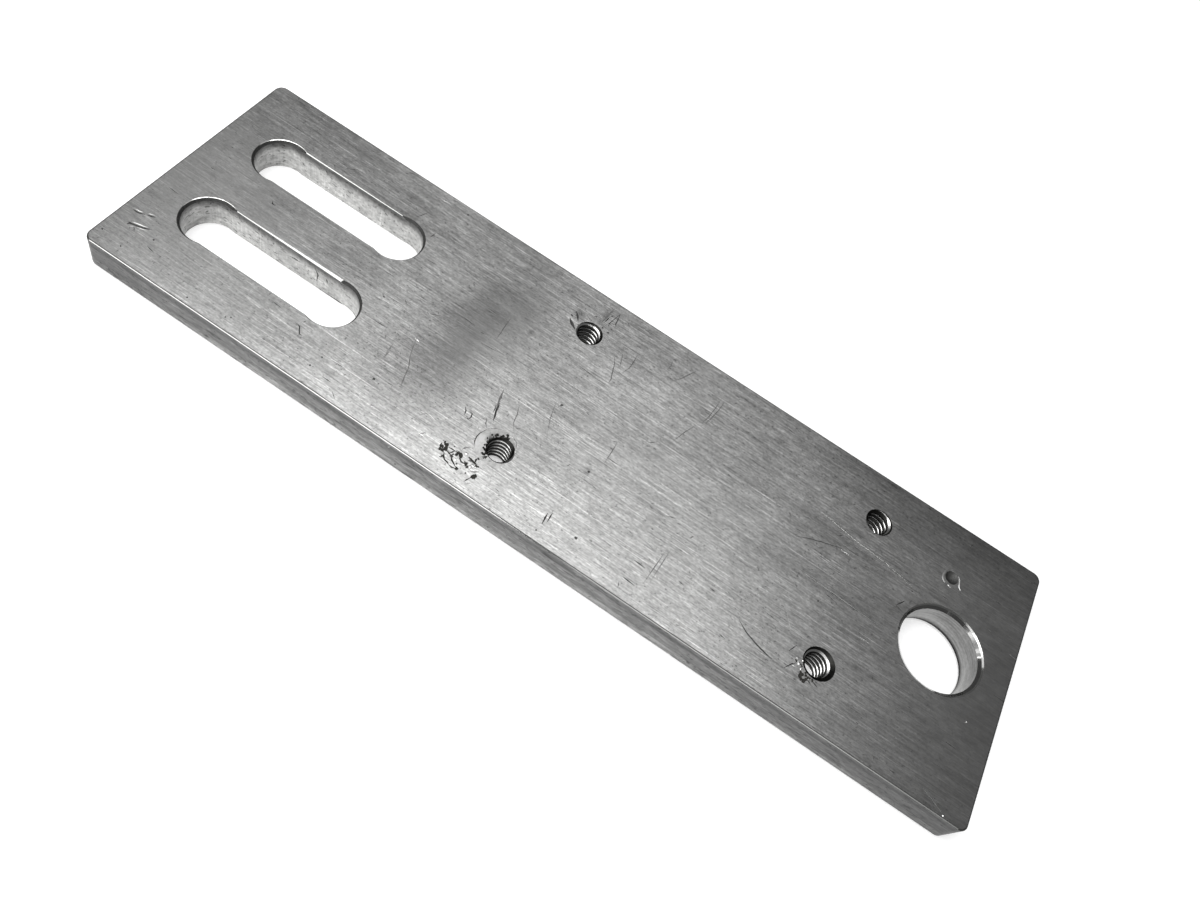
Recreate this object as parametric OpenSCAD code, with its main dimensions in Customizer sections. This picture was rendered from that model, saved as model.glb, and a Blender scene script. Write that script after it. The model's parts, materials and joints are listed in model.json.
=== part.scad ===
// Switch mounting plate: a flat aluminium bar with two adjusting slots, a rectangle of four
// tapped holes for a limit switch and one clearance bore. It lies on its underside at Z = 0,
// with its length along X and the slotted end at -X.

/* [Plate] */
// Overall length of the bar
plate_l = 163.6; // [150:0.1:220]
// Overall width of the bar
plate_w = 49.2; // [42:0.1:80]
// Thickness of the bar
plate_t = 6.35; // [4:0.05:12]
// Radius of the two corners at the slotted end, seen from above
slotted_corner_r = 1.6; // [1.3:0.1:8]
// Radius of the two corners at the bored end, seen from above
bored_corner_r = 1.4; // [1.3:0.1:8]
// Rounding of the edges of the top face
top_edge_r = 0.25; // [0.1:0.05:0.6]
// Rounding of the edges of the underside
bottom_edge_r = 0.3; // [0.1:0.05:0.6]
// Distance from the middle of the width to the line that the slots and holes are laid out on
layout_offset = 0.3; // [-1:0.1:1]

/* [Slots] */
// Width of a slot between its milled straight walls
slot_w = 9.2; // [5:0.1:11]
// Diameter of the drilled hole at each end of a slot
slot_end_d = 9.4; // [5:0.1:11]
// Distance between the two end holes of a slot, centre to centre
slot_travel = 25.2; // [10:0.1:28]
// Distance between the centre lines of the two slots
slot_spacing = 18.7; // [14:0.1:24]
// Distance from the slotted end to the nearest end holes
slot_end_distance = 12.1; // [8:0.1:15]
// Chamfer along the straight walls of a slot at the top face
slot_chamfer = 0.4; // [0.1:0.05:0.8]
// Chamfer round the drilled ends of a slot at the top face
slot_end_chamfer = 0.4; // [0.1:0.05:0.8]
// Chamfer all round a slot at the underside
slot_under_chamfer = 0.1; // [0.05:0.05:0.8]

/* [Switch holes] */
// Distance between the switch holes along the bar
switch_pitch_l = 59.4; // [40:0.1:70]
// Distance between the switch holes across the bar
switch_pitch_w = 29.6; // [16:0.1:34]
// Distance from the bored end to the nearest pair of switch holes
switch_end_distance = 29.5; // [24:0.1:34]
// Diameter of the hole before it is tapped, at the crests of the thread
tapping_d = 3.8; // [2.5:0.05:4.3]
// Diameter of the countersink where a tapped hole opens
countersink_d = 4.9; // [4.4:0.05:6]

/* [Bore] */
// Diameter of the large bore
bore_d = 14; // [6:0.1:20]
// Distance from the bored end to the centre of the bore
bore_end_distance = 12.4; // [12:0.1:16]
// Chamfer round the bore on both faces
bore_chamfer = 0.65; // [0.1:0.05:1]

/* [Drill spot] */
// Diameter of the shallow drill spot at the top face
spot_d = 2.4; // [0.5:0.1:4]
// Angle of the drill point that left the spot
spot_point_angle = 118; // [90:1:140]
// Distance from the bored end to the centre of the spot
spot_end_distance = 14.6; // [13:0.1:20]
// Distance from the layout line to the centre of the spot
spot_side_distance = 13.4; // [11:0.1:17]

/* [Hidden] */
$fn = 96;
// How far a cutter runs past the face that it opens
overrun = 1;
slotted_end_x = -plate_l / 2;
bored_end_x = plate_l / 2;
slot_x = slotted_end_x + slot_end_distance + slot_travel / 2;
switch_x = bored_end_x - switch_end_distance - switch_pitch_l / 2;
bore_x = bored_end_x - bore_end_distance;
spot_x = bored_end_x - spot_end_distance;

// Upright section with rounded corners: the left side stands at x = 0, or both sides are
// rounded and centred on x = 0
module rounded_section(width, one_sided = false) {
    near_x = one_sided ? 0 : -width / 2;
    far_x = one_sided ? width : width / 2;
    sides = one_sided ? [1] : [-1, 1];
    polygon([
        [near_x + (one_sided ? 0 : bottom_edge_r), 0],
        [far_x - bottom_edge_r, 0],
        [far_x, bottom_edge_r],
        [far_x, plate_t - top_edge_r],
        [far_x - top_edge_r, plate_t],
        [near_x + (one_sided ? 0 : top_edge_r), plate_t],
        [near_x, plate_t - (one_sided ? 0 : top_edge_r)],
        [near_x, one_sided ? 0 : bottom_edge_r]
    ]);
    for (side = sides) {
        edge_x = side > 0 ? far_x : near_x;
        translate([edge_x - side * top_edge_r, plate_t - top_edge_r])
            circle(r = top_edge_r);
        translate([edge_x - side * bottom_edge_r, bottom_edge_r])
            circle(r = bottom_edge_r);
    }
}

// Middle of the bar, as long as the straight part of its long edges
module bar_middle() {
    translate([slotted_end_x + slotted_corner_r, 0, 0])
        rotate([90, 0, 90])
            linear_extrude(plate_l - slotted_corner_r - bored_corner_r)
                rounded_section(plate_w);
}

// End of the bar between its two corners, with its outer face at end_x
module bar_end(end_x, corner_r) {
    side = sign(end_x);
    translate([end_x - side * 2 * corner_r, 0, 0])
        rotate([0, 0, side > 0 ? 0 : 180])
            translate([0, plate_w / 2 - corner_r, 0])
                rotate([90, 0, 0])
                    linear_extrude(plate_w - 2 * corner_r)
                        rounded_section(2 * corner_r, one_sided = true);
    for (y_side = [-1, 1])
        translate([end_x - side * corner_r, y_side * (plate_w / 2 - corner_r), 0])
            rotate_extrude()
                rounded_section(corner_r, one_sided = true);
}

// Cone that chamfers a round hole of radius r where it meets the top face
module top_chamfer(r, chamfer) {
    translate([0, 0, plate_t - chamfer])
        cylinder(h = chamfer + overrun, r1 = r, r2 = r + chamfer + overrun);
}

// The same cone at the underside
module bottom_chamfer(r, chamfer) {
    translate([0, 0, -overrun])
        cylinder(h = chamfer + overrun, r1 = r + chamfer + overrun, r2 = r);
}

// Round hole through the bar, chamfered on both faces
module chamfered_hole(d, chamfer_above, chamfer_below) {
    translate([0, 0, -overrun])
        cylinder(h = plate_t + 2 * overrun, d = d);
    top_chamfer(d / 2, chamfer_above);
    bottom_chamfer(d / 2, chamfer_below);
}

// Section of the milled part of a slot, with its chamfers on both faces
module slot_section() {
    half_w = slot_w / 2;
    flare_above = slot_chamfer + overrun;
    flare_below = slot_under_chamfer + overrun;
    polygon([
        [-half_w - flare_below, -overrun],
        [half_w + flare_below, -overrun],
        [half_w, slot_under_chamfer],
        [half_w, plate_t - slot_chamfer],
        [half_w + flare_above, plate_t + overrun],
        [-half_w - flare_above, plate_t + overrun],
        [-half_w, plate_t - slot_chamfer],
        [-half_w, slot_under_chamfer]
    ]);
}

// Slot: a hole drilled at each end and the metal between them milled away
module slot_cut() {
    for (side = [-1, 1])
        translate([side * slot_travel / 2, 0, 0])
            chamfered_hole(slot_end_d, slot_end_chamfer, slot_under_chamfer);
    translate([-slot_travel / 2, 0, 0])
        rotate([90, 0, 90])
            linear_extrude(slot_travel)
                slot_section();
}

// Tapped hole at the crests of its thread, countersunk on both faces
module switch_hole_cut() {
    countersink = (countersink_d - tapping_d) / 2;
    chamfered_hole(tapping_d, countersink, countersink);
}

// Cone left by a drill point that was started and given up
module drill_spot_cut() {
    depth = spot_d / 2 / tan(spot_point_angle / 2);
    scale_past_face = (depth + overrun) / depth;
    translate([0, 0, plate_t - depth])
        cylinder(h = depth + overrun, r1 = 0, r2 = spot_d / 2 * scale_past_face);
}

// Everything that is cut through or into the bar, laid out about the layout line
module all_cuts() {
    for (side = [-1, 1])
        translate([slot_x, side * slot_spacing / 2, 0])
            slot_cut();
    for (end = [-1, 1], side = [-1, 1])
        translate([switch_x + end * switch_pitch_l / 2, side * switch_pitch_w / 2, 0])
            switch_hole_cut();
    translate([bore_x, 0, 0])
        chamfered_hole(bore_d, bore_chamfer, bore_chamfer);
    translate([spot_x, spot_side_distance, 0])
        drill_spot_cut();
}

module mounting_plate() {
    color([0.62, 0.62, 0.61])
        difference() {
            union() {
                bar_middle();
                bar_end(slotted_end_x, slotted_corner_r);
                bar_end(bored_end_x, bored_corner_r);
            }
            translate([0, layout_offset, 0])
                all_cuts();
        }
}

mounting_plate();
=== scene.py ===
"""Switch mounting plate: a sawn, drilled, milled and tapped aluminium bar, dressed round its frame.

Places are in the frame's own axes: X runs along the bar with the slotted end at -X, Y runs across
it and Z is up from the underside. Sizes are written in millimetres and turned into metres by MM.
"""
import json
import logging
import math
import random
from abc import ABC, abstractmethod
from collections.abc import Iterable, Sequence
from dataclasses import dataclass
from enum import Enum, IntEnum

import bmesh
import bpy
from mathutils import Euler, Matrix, Vector


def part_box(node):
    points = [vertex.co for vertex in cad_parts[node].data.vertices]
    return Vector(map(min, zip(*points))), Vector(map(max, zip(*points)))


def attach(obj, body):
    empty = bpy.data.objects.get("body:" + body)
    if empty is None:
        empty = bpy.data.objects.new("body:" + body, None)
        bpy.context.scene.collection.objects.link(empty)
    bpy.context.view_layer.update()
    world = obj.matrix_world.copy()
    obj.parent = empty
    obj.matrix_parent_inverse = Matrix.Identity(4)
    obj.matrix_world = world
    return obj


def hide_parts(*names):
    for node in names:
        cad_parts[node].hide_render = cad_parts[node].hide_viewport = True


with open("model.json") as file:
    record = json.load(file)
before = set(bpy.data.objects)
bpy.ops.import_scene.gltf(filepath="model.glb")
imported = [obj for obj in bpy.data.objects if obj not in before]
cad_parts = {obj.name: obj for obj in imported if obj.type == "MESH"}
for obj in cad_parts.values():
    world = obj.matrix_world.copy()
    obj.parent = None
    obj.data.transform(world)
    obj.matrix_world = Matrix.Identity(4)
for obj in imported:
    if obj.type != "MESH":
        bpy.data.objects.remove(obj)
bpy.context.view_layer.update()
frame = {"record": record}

log = logging.getLogger("mounting_plate")

MM = 0.001
NODE = "mounting_plate"
PIECE = "machined_plate"
UP = Vector((0, 0, 1))
ROUND_SEGMENTS = 96
SHARP_ANGLE = math.radians(30)
GRAIN_MAP = "grain"
# In millimetres: how far tools run past the faces, how far slot edges lap into the ends, the distance
# at which corners are welded, and the shift that keeps the cells' lines off the holes' axes
OVERRUN = 1.0
END_LAP = 0.37
WELD = 0.0003
CELL_SHIFT = 0.037
# Least share of a unit normal along an axis for a face to count as square to it
SQUARE_ON = 0.9
# Radius, in millimetres, of a stain that runs over the whole bar
ALL_OVER = 1000
# How far past its level the edge of a speck fades, and the octaves in specks and in ragged outlines
SPECK_FADE = 0.08
SPECK_DETAIL = 1.0
RAGGED_DETAIL = 3.0
# Turn that lays the highlight across the grain, as a share of a full turn
HIGHLIGHT_TURN = 0.25
# How far a countersink's cone reaches in from its rim: a share of its radius, and at most this;
# and its drop for each unit of radius, where its sides stand at a right angle
SINK_SHARE = 0.7
SINK_REACH = 1.2
SINK_SLOPE = 1.0
# Room that marks of one pass keep: beside a scratch, in millimetres, and round a lump, in radii
SCRATCH_ROOM = 0.1
LUMP_ROOM = 1.8
# Unevenness of scratches: where the middle of a plain one lies, its size at the ends and between them
SCRATCH_MIDDLE = (0.4, 0.6)
SCRATCH_END = 0.2
SCRATCH_BODY = (0.85, 1.1)
# Unevenness of lumps: their outline and their stretch
LUMP_OUTLINE = (0.70, 1.25)
LUMP_STRETCH = (0.8, 1.3)
# Crumbs in a clot, how far they scatter and how large they are, as shares of the clot's radius
CRUMBS = 5
CRUMB_SCATTER = 0.55
CRUMB_SIZE = (0.40, 0.75)


class Finish(IntEnum):
    """Finishes of the bar, in the order of its material slots."""

    FACE = 0
    SIDE = 1
    SAWN = 2
    MILLED = 3
    BORED = 4
    CHAMFER = 5
    THREAD = 6
    SMEARED = 7
    SCORED_AND_SHADE = 8
    GREASED_AND_SHADE = 9
    SOIL = 10
    SCUFFED = 11
    TURNED = 12


# Finishes that meet the others at a sharp edge
SCARRED = {
    Finish.THREAD, Finish.CHAMFER, Finish.SMEARED, Finish.SCORED_AND_SHADE, Finish.GREASED_AND_SHADE, Finish.SOIL,
    Finish.SCUFFED, Finish.TURNED,
}


class Work(Enum):
    """What a tool does to the workpiece."""

    CUT = "DIFFERENCE"
    RAISE = "UNION"


@dataclass(frozen=True)
class Pattern:
    """One layer of noise in a finish: grain, mottling or chatter."""

    size: tuple[float, float, float]
    contrast: float = 0.0
    gloss: float = 0.0
    relief: float = 0.0
    detail: float = 2.0


@dataclass(frozen=True)
class Specks:
    """Small specks that stand where a noise passes a level; light where the darkening is negative."""

    size: tuple[float, float, float]
    level: float
    darkening: float


@dataclass(frozen=True)
class Stain:
    """A soft-edged patch of the metal that is darker, or lighter where the darkening is negative."""

    centre: tuple[float, float, float]
    radii: tuple[float, float, float]
    darkening: float
    turn: float = 0.0
    ragged: float = 0.0


def band(height: float, reach: float, darkening: float, ragged: float = 0.0) -> Stain:
    """Returns a level stain that runs round the whole bar, fading out above and below a height."""
    return Stain((0, 0, height), (ALL_OVER, ALL_OVER, reach), darkening, ragged=ragged)


class NodeSheet:
    """The nodes of one material, with the few joins that every finish needs."""

    def __init__(self, material: bpy.types.Material) -> None:
        """Clears the material's nodes.

        Args:
            material: The material to build.
        """
        self.tree = material.node_tree
        self.tree.nodes.clear()
        self.place = self.add("ShaderNodeTexCoord").outputs["Object"]

    def add(self, kind: str, **settings: object) -> bpy.types.Node:
        """Adds a node.

        Args:
            kind: The node's type.
            **settings: Properties to set on it.

        Returns:
            The new node.
        """
        node = self.tree.nodes.new(kind)
        for name, value in settings.items():
            setattr(node, name, value)
        return node

    def join(self, source: object, socket: bpy.types.NodeSocket) -> None:
        """Feeds a socket from another socket, or sets it to a number.

        Args:
            source: An output socket or a number.
            socket: The input socket.
        """
        if isinstance(source, bpy.types.NodeSocket):
            self.tree.links.new(source, socket)
        else:
            socket.default_value = source

    def math(self, operation: str, *terms: object) -> bpy.types.NodeSocket:
        """Adds a Math node.

        Args:
            operation: The operation's name.
            *terms: Sockets or numbers.

        Returns:
            The result's socket.
        """
        node = self.add("ShaderNodeMath", operation=operation)
        for term, socket in zip(terms, node.inputs):
            self.join(term, socket)
        return node.outputs[0]

    def noise(self, size: Sequence[float], detail: float) -> bpy.types.NodeSocket:
        """Adds a noise whose features have a given size along each axis.

        Args:
            size: Size of a feature along X, Y and Z, in millimetres.
            detail: Octaves of finer noise.

        Returns:
            A socket that varies about 0.5.
        """
        mapping = self.add("ShaderNodeMapping", vector_type="POINT")
        mapping.inputs["Scale"].default_value = [1 / (length * MM) for length in size]
        self.join(self.place, mapping.inputs["Vector"])
        texture = self.add("ShaderNodeTexNoise")
        texture.inputs["Scale"].default_value = 1.0
        texture.inputs["Detail"].default_value = detail
        self.join(mapping.outputs[0], texture.inputs["Vector"])
        return texture.outputs[0]

    def swing(self, value: bpy.types.NodeSocket, gain: float) -> bpy.types.NodeSocket:
        """Turns a value about 0.5 into a factor about 1.

        Args:
            value: The varying value.
            gain: How far the factor swings for a full swing of the value.

        Returns:
            The factor's socket.
        """
        return self.math("MULTIPLY_ADD", value, 2 * gain, 1 - gain)

    def patch(self, stain: Stain) -> bpy.types.NodeSocket:
        """Adds the factor by which a stain darkens the metal.

        Args:
            stain: The stain.

        Returns:
            A socket that is 1 outside the stain.
        """
        place = self.place
        if stain.ragged:
            wander = self.add("ShaderNodeTexNoise")
            wander.inputs["Scale"].default_value = 1 / (stain.ragged * MM)
            wander.inputs["Detail"].default_value = RAGGED_DETAIL
            self.join(self.place, wander.inputs["Vector"])
            offset = self.add("ShaderNodeVectorMath", operation="MULTIPLY_ADD")
            offset.inputs[1].default_value = [stain.ragged * MM] * 3
            self.join(wander.outputs["Color"], offset.inputs[0])
            self.join(self.place, offset.inputs[2])
            place = offset.outputs[0]
        mapping = self.add("ShaderNodeMapping", vector_type="TEXTURE")
        mapping.inputs["Location"].default_value = [MM * value for value in stain.centre]
        mapping.inputs["Rotation"].default_value = [0, 0, math.radians(stain.turn)]
        mapping.inputs["Scale"].default_value = [MM * value for value in stain.radii]
        self.join(place, mapping.inputs["Vector"])
        ball = self.add("ShaderNodeTexGradient", gradient_type="SPHERICAL")
        self.join(mapping.outputs[0], ball.inputs["Vector"])
        soft = self.add("ShaderNodeMapRange", interpolation_type="SMOOTHSTEP")
        soft.inputs["To Min"].default_value = 1.0
        soft.inputs["To Max"].default_value = 1 - stain.darkening
        self.join(ball.outputs["Fac"], soft.inputs["Value"])
        return soft.outputs[0]


@dataclass(frozen=True)
class MetalFinish:
    """A worked aluminium surface."""

    name: str
    colour: tuple[float, float, float]
    roughness: float
    anisotropy: float = 0.0
    metallic: float = 1.0
    patterns: tuple[Pattern, ...] = ()
    specks: tuple[Specks, ...] = ()
    # Patches where the patterns and specks fade
    calm: tuple[Stain, ...] = ()
    stains: tuple[Stain, ...] = ()

    def build(self) -> bpy.types.Material:
        """Makes the material.

        Returns:
            The new material.
        """
        material = bpy.data.materials.new(self.name)
        material.use_nodes = True
        sheet = NodeSheet(material)
        tone: object = 1.0
        gloss: object = self.roughness
        relief: object = 0.0
        for pattern in self.patterns:
            noise = sheet.noise(pattern.size, pattern.detail)
            if pattern.contrast:
                tone = sheet.math("MULTIPLY", tone, sheet.swing(noise, pattern.contrast))
            if pattern.gloss:
                gloss = sheet.math("MULTIPLY", gloss, sheet.swing(noise, pattern.gloss))
            if pattern.relief:
                relief = sheet.math("MULTIPLY_ADD", noise, pattern.relief * MM, relief)
        for specks in self.specks:
            over = sheet.add("ShaderNodeMapRange", interpolation_type="SMOOTHSTEP")
            over.inputs["From Min"].default_value = specks.level
            over.inputs["From Max"].default_value = specks.level + SPECK_FADE
            over.inputs["To Min"].default_value = 1.0
            over.inputs["To Max"].default_value = 1 - specks.darkening
            sheet.join(sheet.noise(specks.size, SPECK_DETAIL), over.inputs["Value"])
            tone = sheet.math("MULTIPLY", tone, over.outputs[0])
        for stain in self.calm:
            tone = sheet.math("MULTIPLY_ADD", sheet.math("SUBTRACT", tone, 1.0), sheet.patch(stain), 1.0)
        for stain in self.stains:
            tone = sheet.math("MULTIPLY", tone, sheet.patch(stain))
        self._shade(sheet, tone, gloss, relief)
        return material

    def _shade(self, sheet: NodeSheet, tone: object, gloss: object, relief: object) -> None:
        """Joins the worked-out values to the shader.

        Args:
            sheet: The material's nodes.
            tone: Factor on the colour.
            gloss: Roughness.
            relief: Height of the surface in metres.
        """
        shader = sheet.add("ShaderNodeBsdfPrincipled")
        shader.inputs["Metallic"].default_value = self.metallic
        shader.inputs["Anisotropic"].default_value = self.anisotropy
        shader.inputs["Anisotropic Rotation"].default_value = HIGHLIGHT_TURN
        shader.inputs["Base Color"].default_value = (*self.colour, 1.0)
        if isinstance(tone, bpy.types.NodeSocket):
            tint = sheet.add("ShaderNodeVectorMath", operation="SCALE")
            tint.inputs[0].default_value = self.colour
            sheet.join(tone, tint.inputs["Scale"])
            sheet.join(tint.outputs[0], shader.inputs["Base Color"])
        sheet.join(gloss, shader.inputs["Roughness"])
        if isinstance(relief, bpy.types.NodeSocket):
            bump = sheet.add("ShaderNodeBump")
            bump.inputs["Distance"].default_value = 1.0
            sheet.join(relief, bump.inputs["Height"])
            sheet.join(bump.outputs[0], shader.inputs["Normal"])
        if self.anisotropy:
            tangent = sheet.add("ShaderNodeTangent", direction_type="UV_MAP", uv_map=GRAIN_MAP)
            sheet.join(tangent.outputs[0], shader.inputs["Tangent"])
        output = sheet.add("ShaderNodeOutputMaterial")
        sheet.join(shader.outputs[0], output.inputs["Surface"])


FINISHES: dict[Finish, MetalFinish] = {
    Finish.FACE: MetalFinish(
        "brushed_face", (0.48, 0.48, 0.475), 0.36, anisotropy=0.6,
        patterns=(
            Pattern((0.50, 0.26, 1), contrast=0.52, detail=2),
            Pattern((2.6, 0.22, 1), contrast=0.34, relief=0.0008, detail=1),
            Pattern((11, 0.22, 1), contrast=0.30, gloss=0.12, relief=0.0008, detail=1),
            Pattern((1.6, 1.0, 1), contrast=0.18, gloss=0.15, detail=3),
            Pattern((10, 6, 10), contrast=0.10, gloss=0.10),
            Pattern((40, 22, 10), contrast=0.12),
        ),
        specks=(
            Specks((5, 0.24, 1), 0.64, -0.44), Specks((22, 0.26, 1), 0.66, -0.46),
            Specks((5, 0.26, 1), 0.66, 0.30), Specks((0.50, 0.40, 1), 0.66, 0.45),
        ),
        calm=(
            Stain((-72, 2, 6.3), (42, 38, 20), 0.60, ragged=6),
            Stain((84, 0, 6.3), (38, 60, 20), 0.80, ragged=4),
            Stain((-19, 5, 6.3), (9, 24, 20), 0.60, turn=-8, ragged=4),
        ),
        stains=(
            Stain((-20, 4, 9.8), (12, 34, 8), 0.46, turn=-8, ragged=7),
            Stain((50, -1.0, 6.3), (19, 1.6, 5), 0.24, turn=-1, ragged=2),
            Stain((48, 7.4, 6.3), (14, 1.2, 5), 0.20, turn=10, ragged=1.5),
            Stain((-10, -19.5, 6.3), (9, 5, 5), -0.30, ragged=2.5),
            Stain((-9.8, 17.6, 6.3), (2.1, 1.8, 5), 0.45, ragged=0.8),
            Stain((-6.3, 20.9, 6.3), (0.8, 2.6, 5), 0.35, ragged=0.6),
            Stain((-14.8, 8.6, 6.3), (0.8, 1.4, 5), 0.45, ragged=0.7),
            Stain((6.6, -8.7, 6.3), (1.0, 1.3, 5), 0.35, ragged=0.6),
            Stain((82, 0, 6.3), (20, 60, 5), 0.14),
            Stain((64, 28, 6.3), (50, 18, 5), 0.40),
            Stain((-86, -20, 6.3), (20, 30, 5), 0.26),
            Stain((8, 11, 6.3), (17, 10, 5), -0.16),
        ),
    ),
    # The drawn side's colour is kept dark as painted shade, in place of the floor's light that the side
    # mirrors
    Finish.SIDE: MetalFinish(
        "drawn_side", (0.195, 0.195, 0.193), 0.40, anisotropy=0.4,
        patterns=(
            Pattern((25, 1, 0.16), contrast=0.45, gloss=0.2, relief=0.0020, detail=3),
            Pattern((5, 1, 0.22), contrast=0.40, detail=1),
            Pattern((0.7, 1, 0.32), contrast=0.45, detail=2),
            Pattern((2.6, 1, 0.8), contrast=0.60, gloss=0.2, detail=3),
            Pattern((9, 1, 2.2), contrast=0.34),
        ),
        specks=(
            Specks((0.8, 1, 0.34), 0.64, 0.60), Specks((3.0, 1, 0.24), 0.66, -0.60),
            Specks((3.4, 1, 0.8), 0.64, 0.50),
        ),
        stains=(
            # Painted shade: the darker band under the top edge; painted reflection of the floor: the lighter
            # band near the foot
            band(5.4, 1.0, 0.45, 0.5),
            band(2.3, 0.5, 0.30, 0.4),
            band(0.9, 2.2, -0.50, 0.6),
            Stain((-86, -24.6, 4.5), (56, 30, 30), 0.42),
            Stain((86, -24.6, 3), (70, 30, 30), 0.55),
        ),
    ),
    Finish.SAWN: MetalFinish(
        "sawn_end", (0.30, 0.30, 0.295), 0.42,
        patterns=(
            Pattern((1, 0.16, 30), contrast=0.34, relief=0.005, detail=3),
            Pattern((1, 1.4, 8), contrast=0.18),
        ),
        specks=(Specks((1, 0.4, 0.8), 0.70, 0.4),),
    ),
    Finish.MILLED: MetalFinish(
        "milled_wall", (0.46, 0.46, 0.452), 0.36,
        patterns=(
            Pattern((0.9, 0.9, 0.6), contrast=0.70, gloss=0.25, relief=0.006, detail=4),
            Pattern((3.2, 3.2, 2.2), contrast=0.40),
            Pattern((0.22, 0.22, 6), contrast=0.24, relief=0.001),
        ),
        specks=(Specks((0.7, 0.7, 0.35), 0.64, 0.6), Specks((1.6, 1.6, 0.5), 0.66, 0.5)),
        stains=(
            # Painted shade: the dark band under the walls' top edge and the darker patch round X = -75
            band(6.2, 1.9, 0.75, 1.0),
            Stain((-75, 0, 3.0), (5.5, ALL_OVER, 8), 0.45, ragged=1.0),
        ),
    ),
    # The bored wall's colour is kept dark as painted shade
    Finish.BORED: MetalFinish(
        "bored_wall", (0.23, 0.23, 0.227), 0.36, anisotropy=0.4,
        patterns=(
            Pattern((5, 5, 0.36), contrast=0.70, gloss=0.2, relief=0.002, detail=3),
            Pattern((0.5, 0.5, 0.4), contrast=0.34, detail=3),
            Pattern((4, 4, 4), contrast=0.30),
        ),
        # Painted shadow: the dark line at the wall's foot; painted light: the lighter band above it
        stains=(band(0.8, 0.8, 0.97), band(2.6, 1.2, -0.25, 0.5)),
    ),
    Finish.CHAMFER: MetalFinish(
        "cut_chamfer", (0.62, 0.62, 0.61), 0.13,
        patterns=(Pattern((0.5, 0.5, 0.5), contrast=0.14, relief=0.0003),),
        # Painted shade that fades the near edge's highlight line towards the bored end
        stains=(Stain((86, -24.6, 6.3), (40, 8, 8), 0.65, ragged=3),),
    ),
    Finish.THREAD: MetalFinish(
        "cut_thread", (0.70, 0.70, 0.69), 0.18,
        patterns=(Pattern((0.3, 0.3, 0.3), contrast=0.20, relief=0.002),),
    ),
    Finish.SMEARED: MetalFinish(
        "smeared_metal", (0.76, 0.76, 0.75), 0.30,
        patterns=(
            Pattern((0.5, 0.5, 0.5), contrast=0.40, relief=0.006, detail=4),
            Pattern((1.4, 1.4, 1.4), contrast=0.16),
        ),
        # The grease that has crept out of the left front screw hole, and the bright rim left of it
        stains=(
            Stain((-10.6, -15.4, 6.3), (1.8, 3.0, 3), -0.28),
            Stain((-8.6, -13.2, 6.3), (1.7, 1.5, 3), 0.90, ragged=0.9),
            Stain((-7.1, -12.3, 6.3), (2.4, 0.9, 3), 0.85, ragged=0.6),
        ),
    ),
    # Dark scored metal of scratches, nicks and pits, also laid as painted shade on the slots' end chamfers,
    # the drill spot and the top edge's far and right end facets
    Finish.SCORED_AND_SHADE: MetalFinish(
        "scored_and_shaded_metal", (0.10, 0.10, 0.098), 0.60,
        patterns=(Pattern((0.4, 0.4, 0.4), contrast=0.5),),
    ),
    Finish.SCUFFED: MetalFinish(
        "scuffed_metal", (0.31, 0.31, 0.306), 0.50,
        patterns=(Pattern((0.5, 0.5, 0.5), contrast=0.5),),
    ),
    # Black grease round the left front screw hole, also laid as painted shade inside the tapped holes and on
    # the top edge's left end facets
    Finish.GREASED_AND_SHADE: MetalFinish(
        "greased_and_shaded_metal", (0.034, 0.034, 0.032), 0.38,
        patterns=(Pattern((0.4, 0.4, 0.4), contrast=0.6, detail=3),),
    ),
    Finish.SOIL: MetalFinish(
        "packed_soil", (0.022, 0.021, 0.018), 0.80, metallic=0.0,
        patterns=(Pattern((0.3, 0.3, 0.3), contrast=0.6, relief=0.02, detail=4),),
    ),
    # The turned chamfer's colour is kept darker than the cut chamfer's as painted shade
    Finish.TURNED: MetalFinish(
        "turned_chamfer", (0.36, 0.36, 0.355), 0.09,
        patterns=(Pattern((3, 3, 0.10), contrast=0.30, detail=1), Pattern((0.5, 0.5, 0.5), contrast=0.14)),
    ),
}


def ordered(items: Iterable) -> list:
    """Returns the items without repeats, in their first order, which a set would lose."""
    return list(dict.fromkeys(items))


def paint(tool: bmesh.types.BMesh, finish: Finish, faces: Sequence | None = None) -> bmesh.types.BMesh:
    """Turns a tool's faces outwards and gives them the finish that it leaves.

    Args:
        tool: A closed mesh.
        finish: The finish of what it cuts or raises.
        faces: The faces to paint, or all of them.

    Returns:
        The same mesh.
    """
    chosen = tool.faces[:] if faces is None else faces
    bmesh.ops.recalc_face_normals(tool, faces=chosen)
    for face in chosen:
        face.material_index = finish
    return tool


def drill(
    centre: Vector, low: tuple[float, float], high: tuple[float, float], finish: Finish
) -> bmesh.types.BMesh:
    """Makes a straight or tapered round tool that stands upright.

    Args:
        centre: Place of its axis.
        low: Height and radius of its lower end.
        high: Height and radius of its upper end.
        finish: The finish that it leaves.

    Returns:
        The tool.
    """
    tool = bmesh.new()
    bmesh.ops.create_cone(
        tool, cap_ends=True, segments=ROUND_SEGMENTS, radius1=low[1], radius2=high[1],
        depth=high[0] - low[0], matrix=Matrix.Translation((centre.x, centre.y, (low[0] + high[0]) / 2)),
    )
    return paint(tool, finish)


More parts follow.
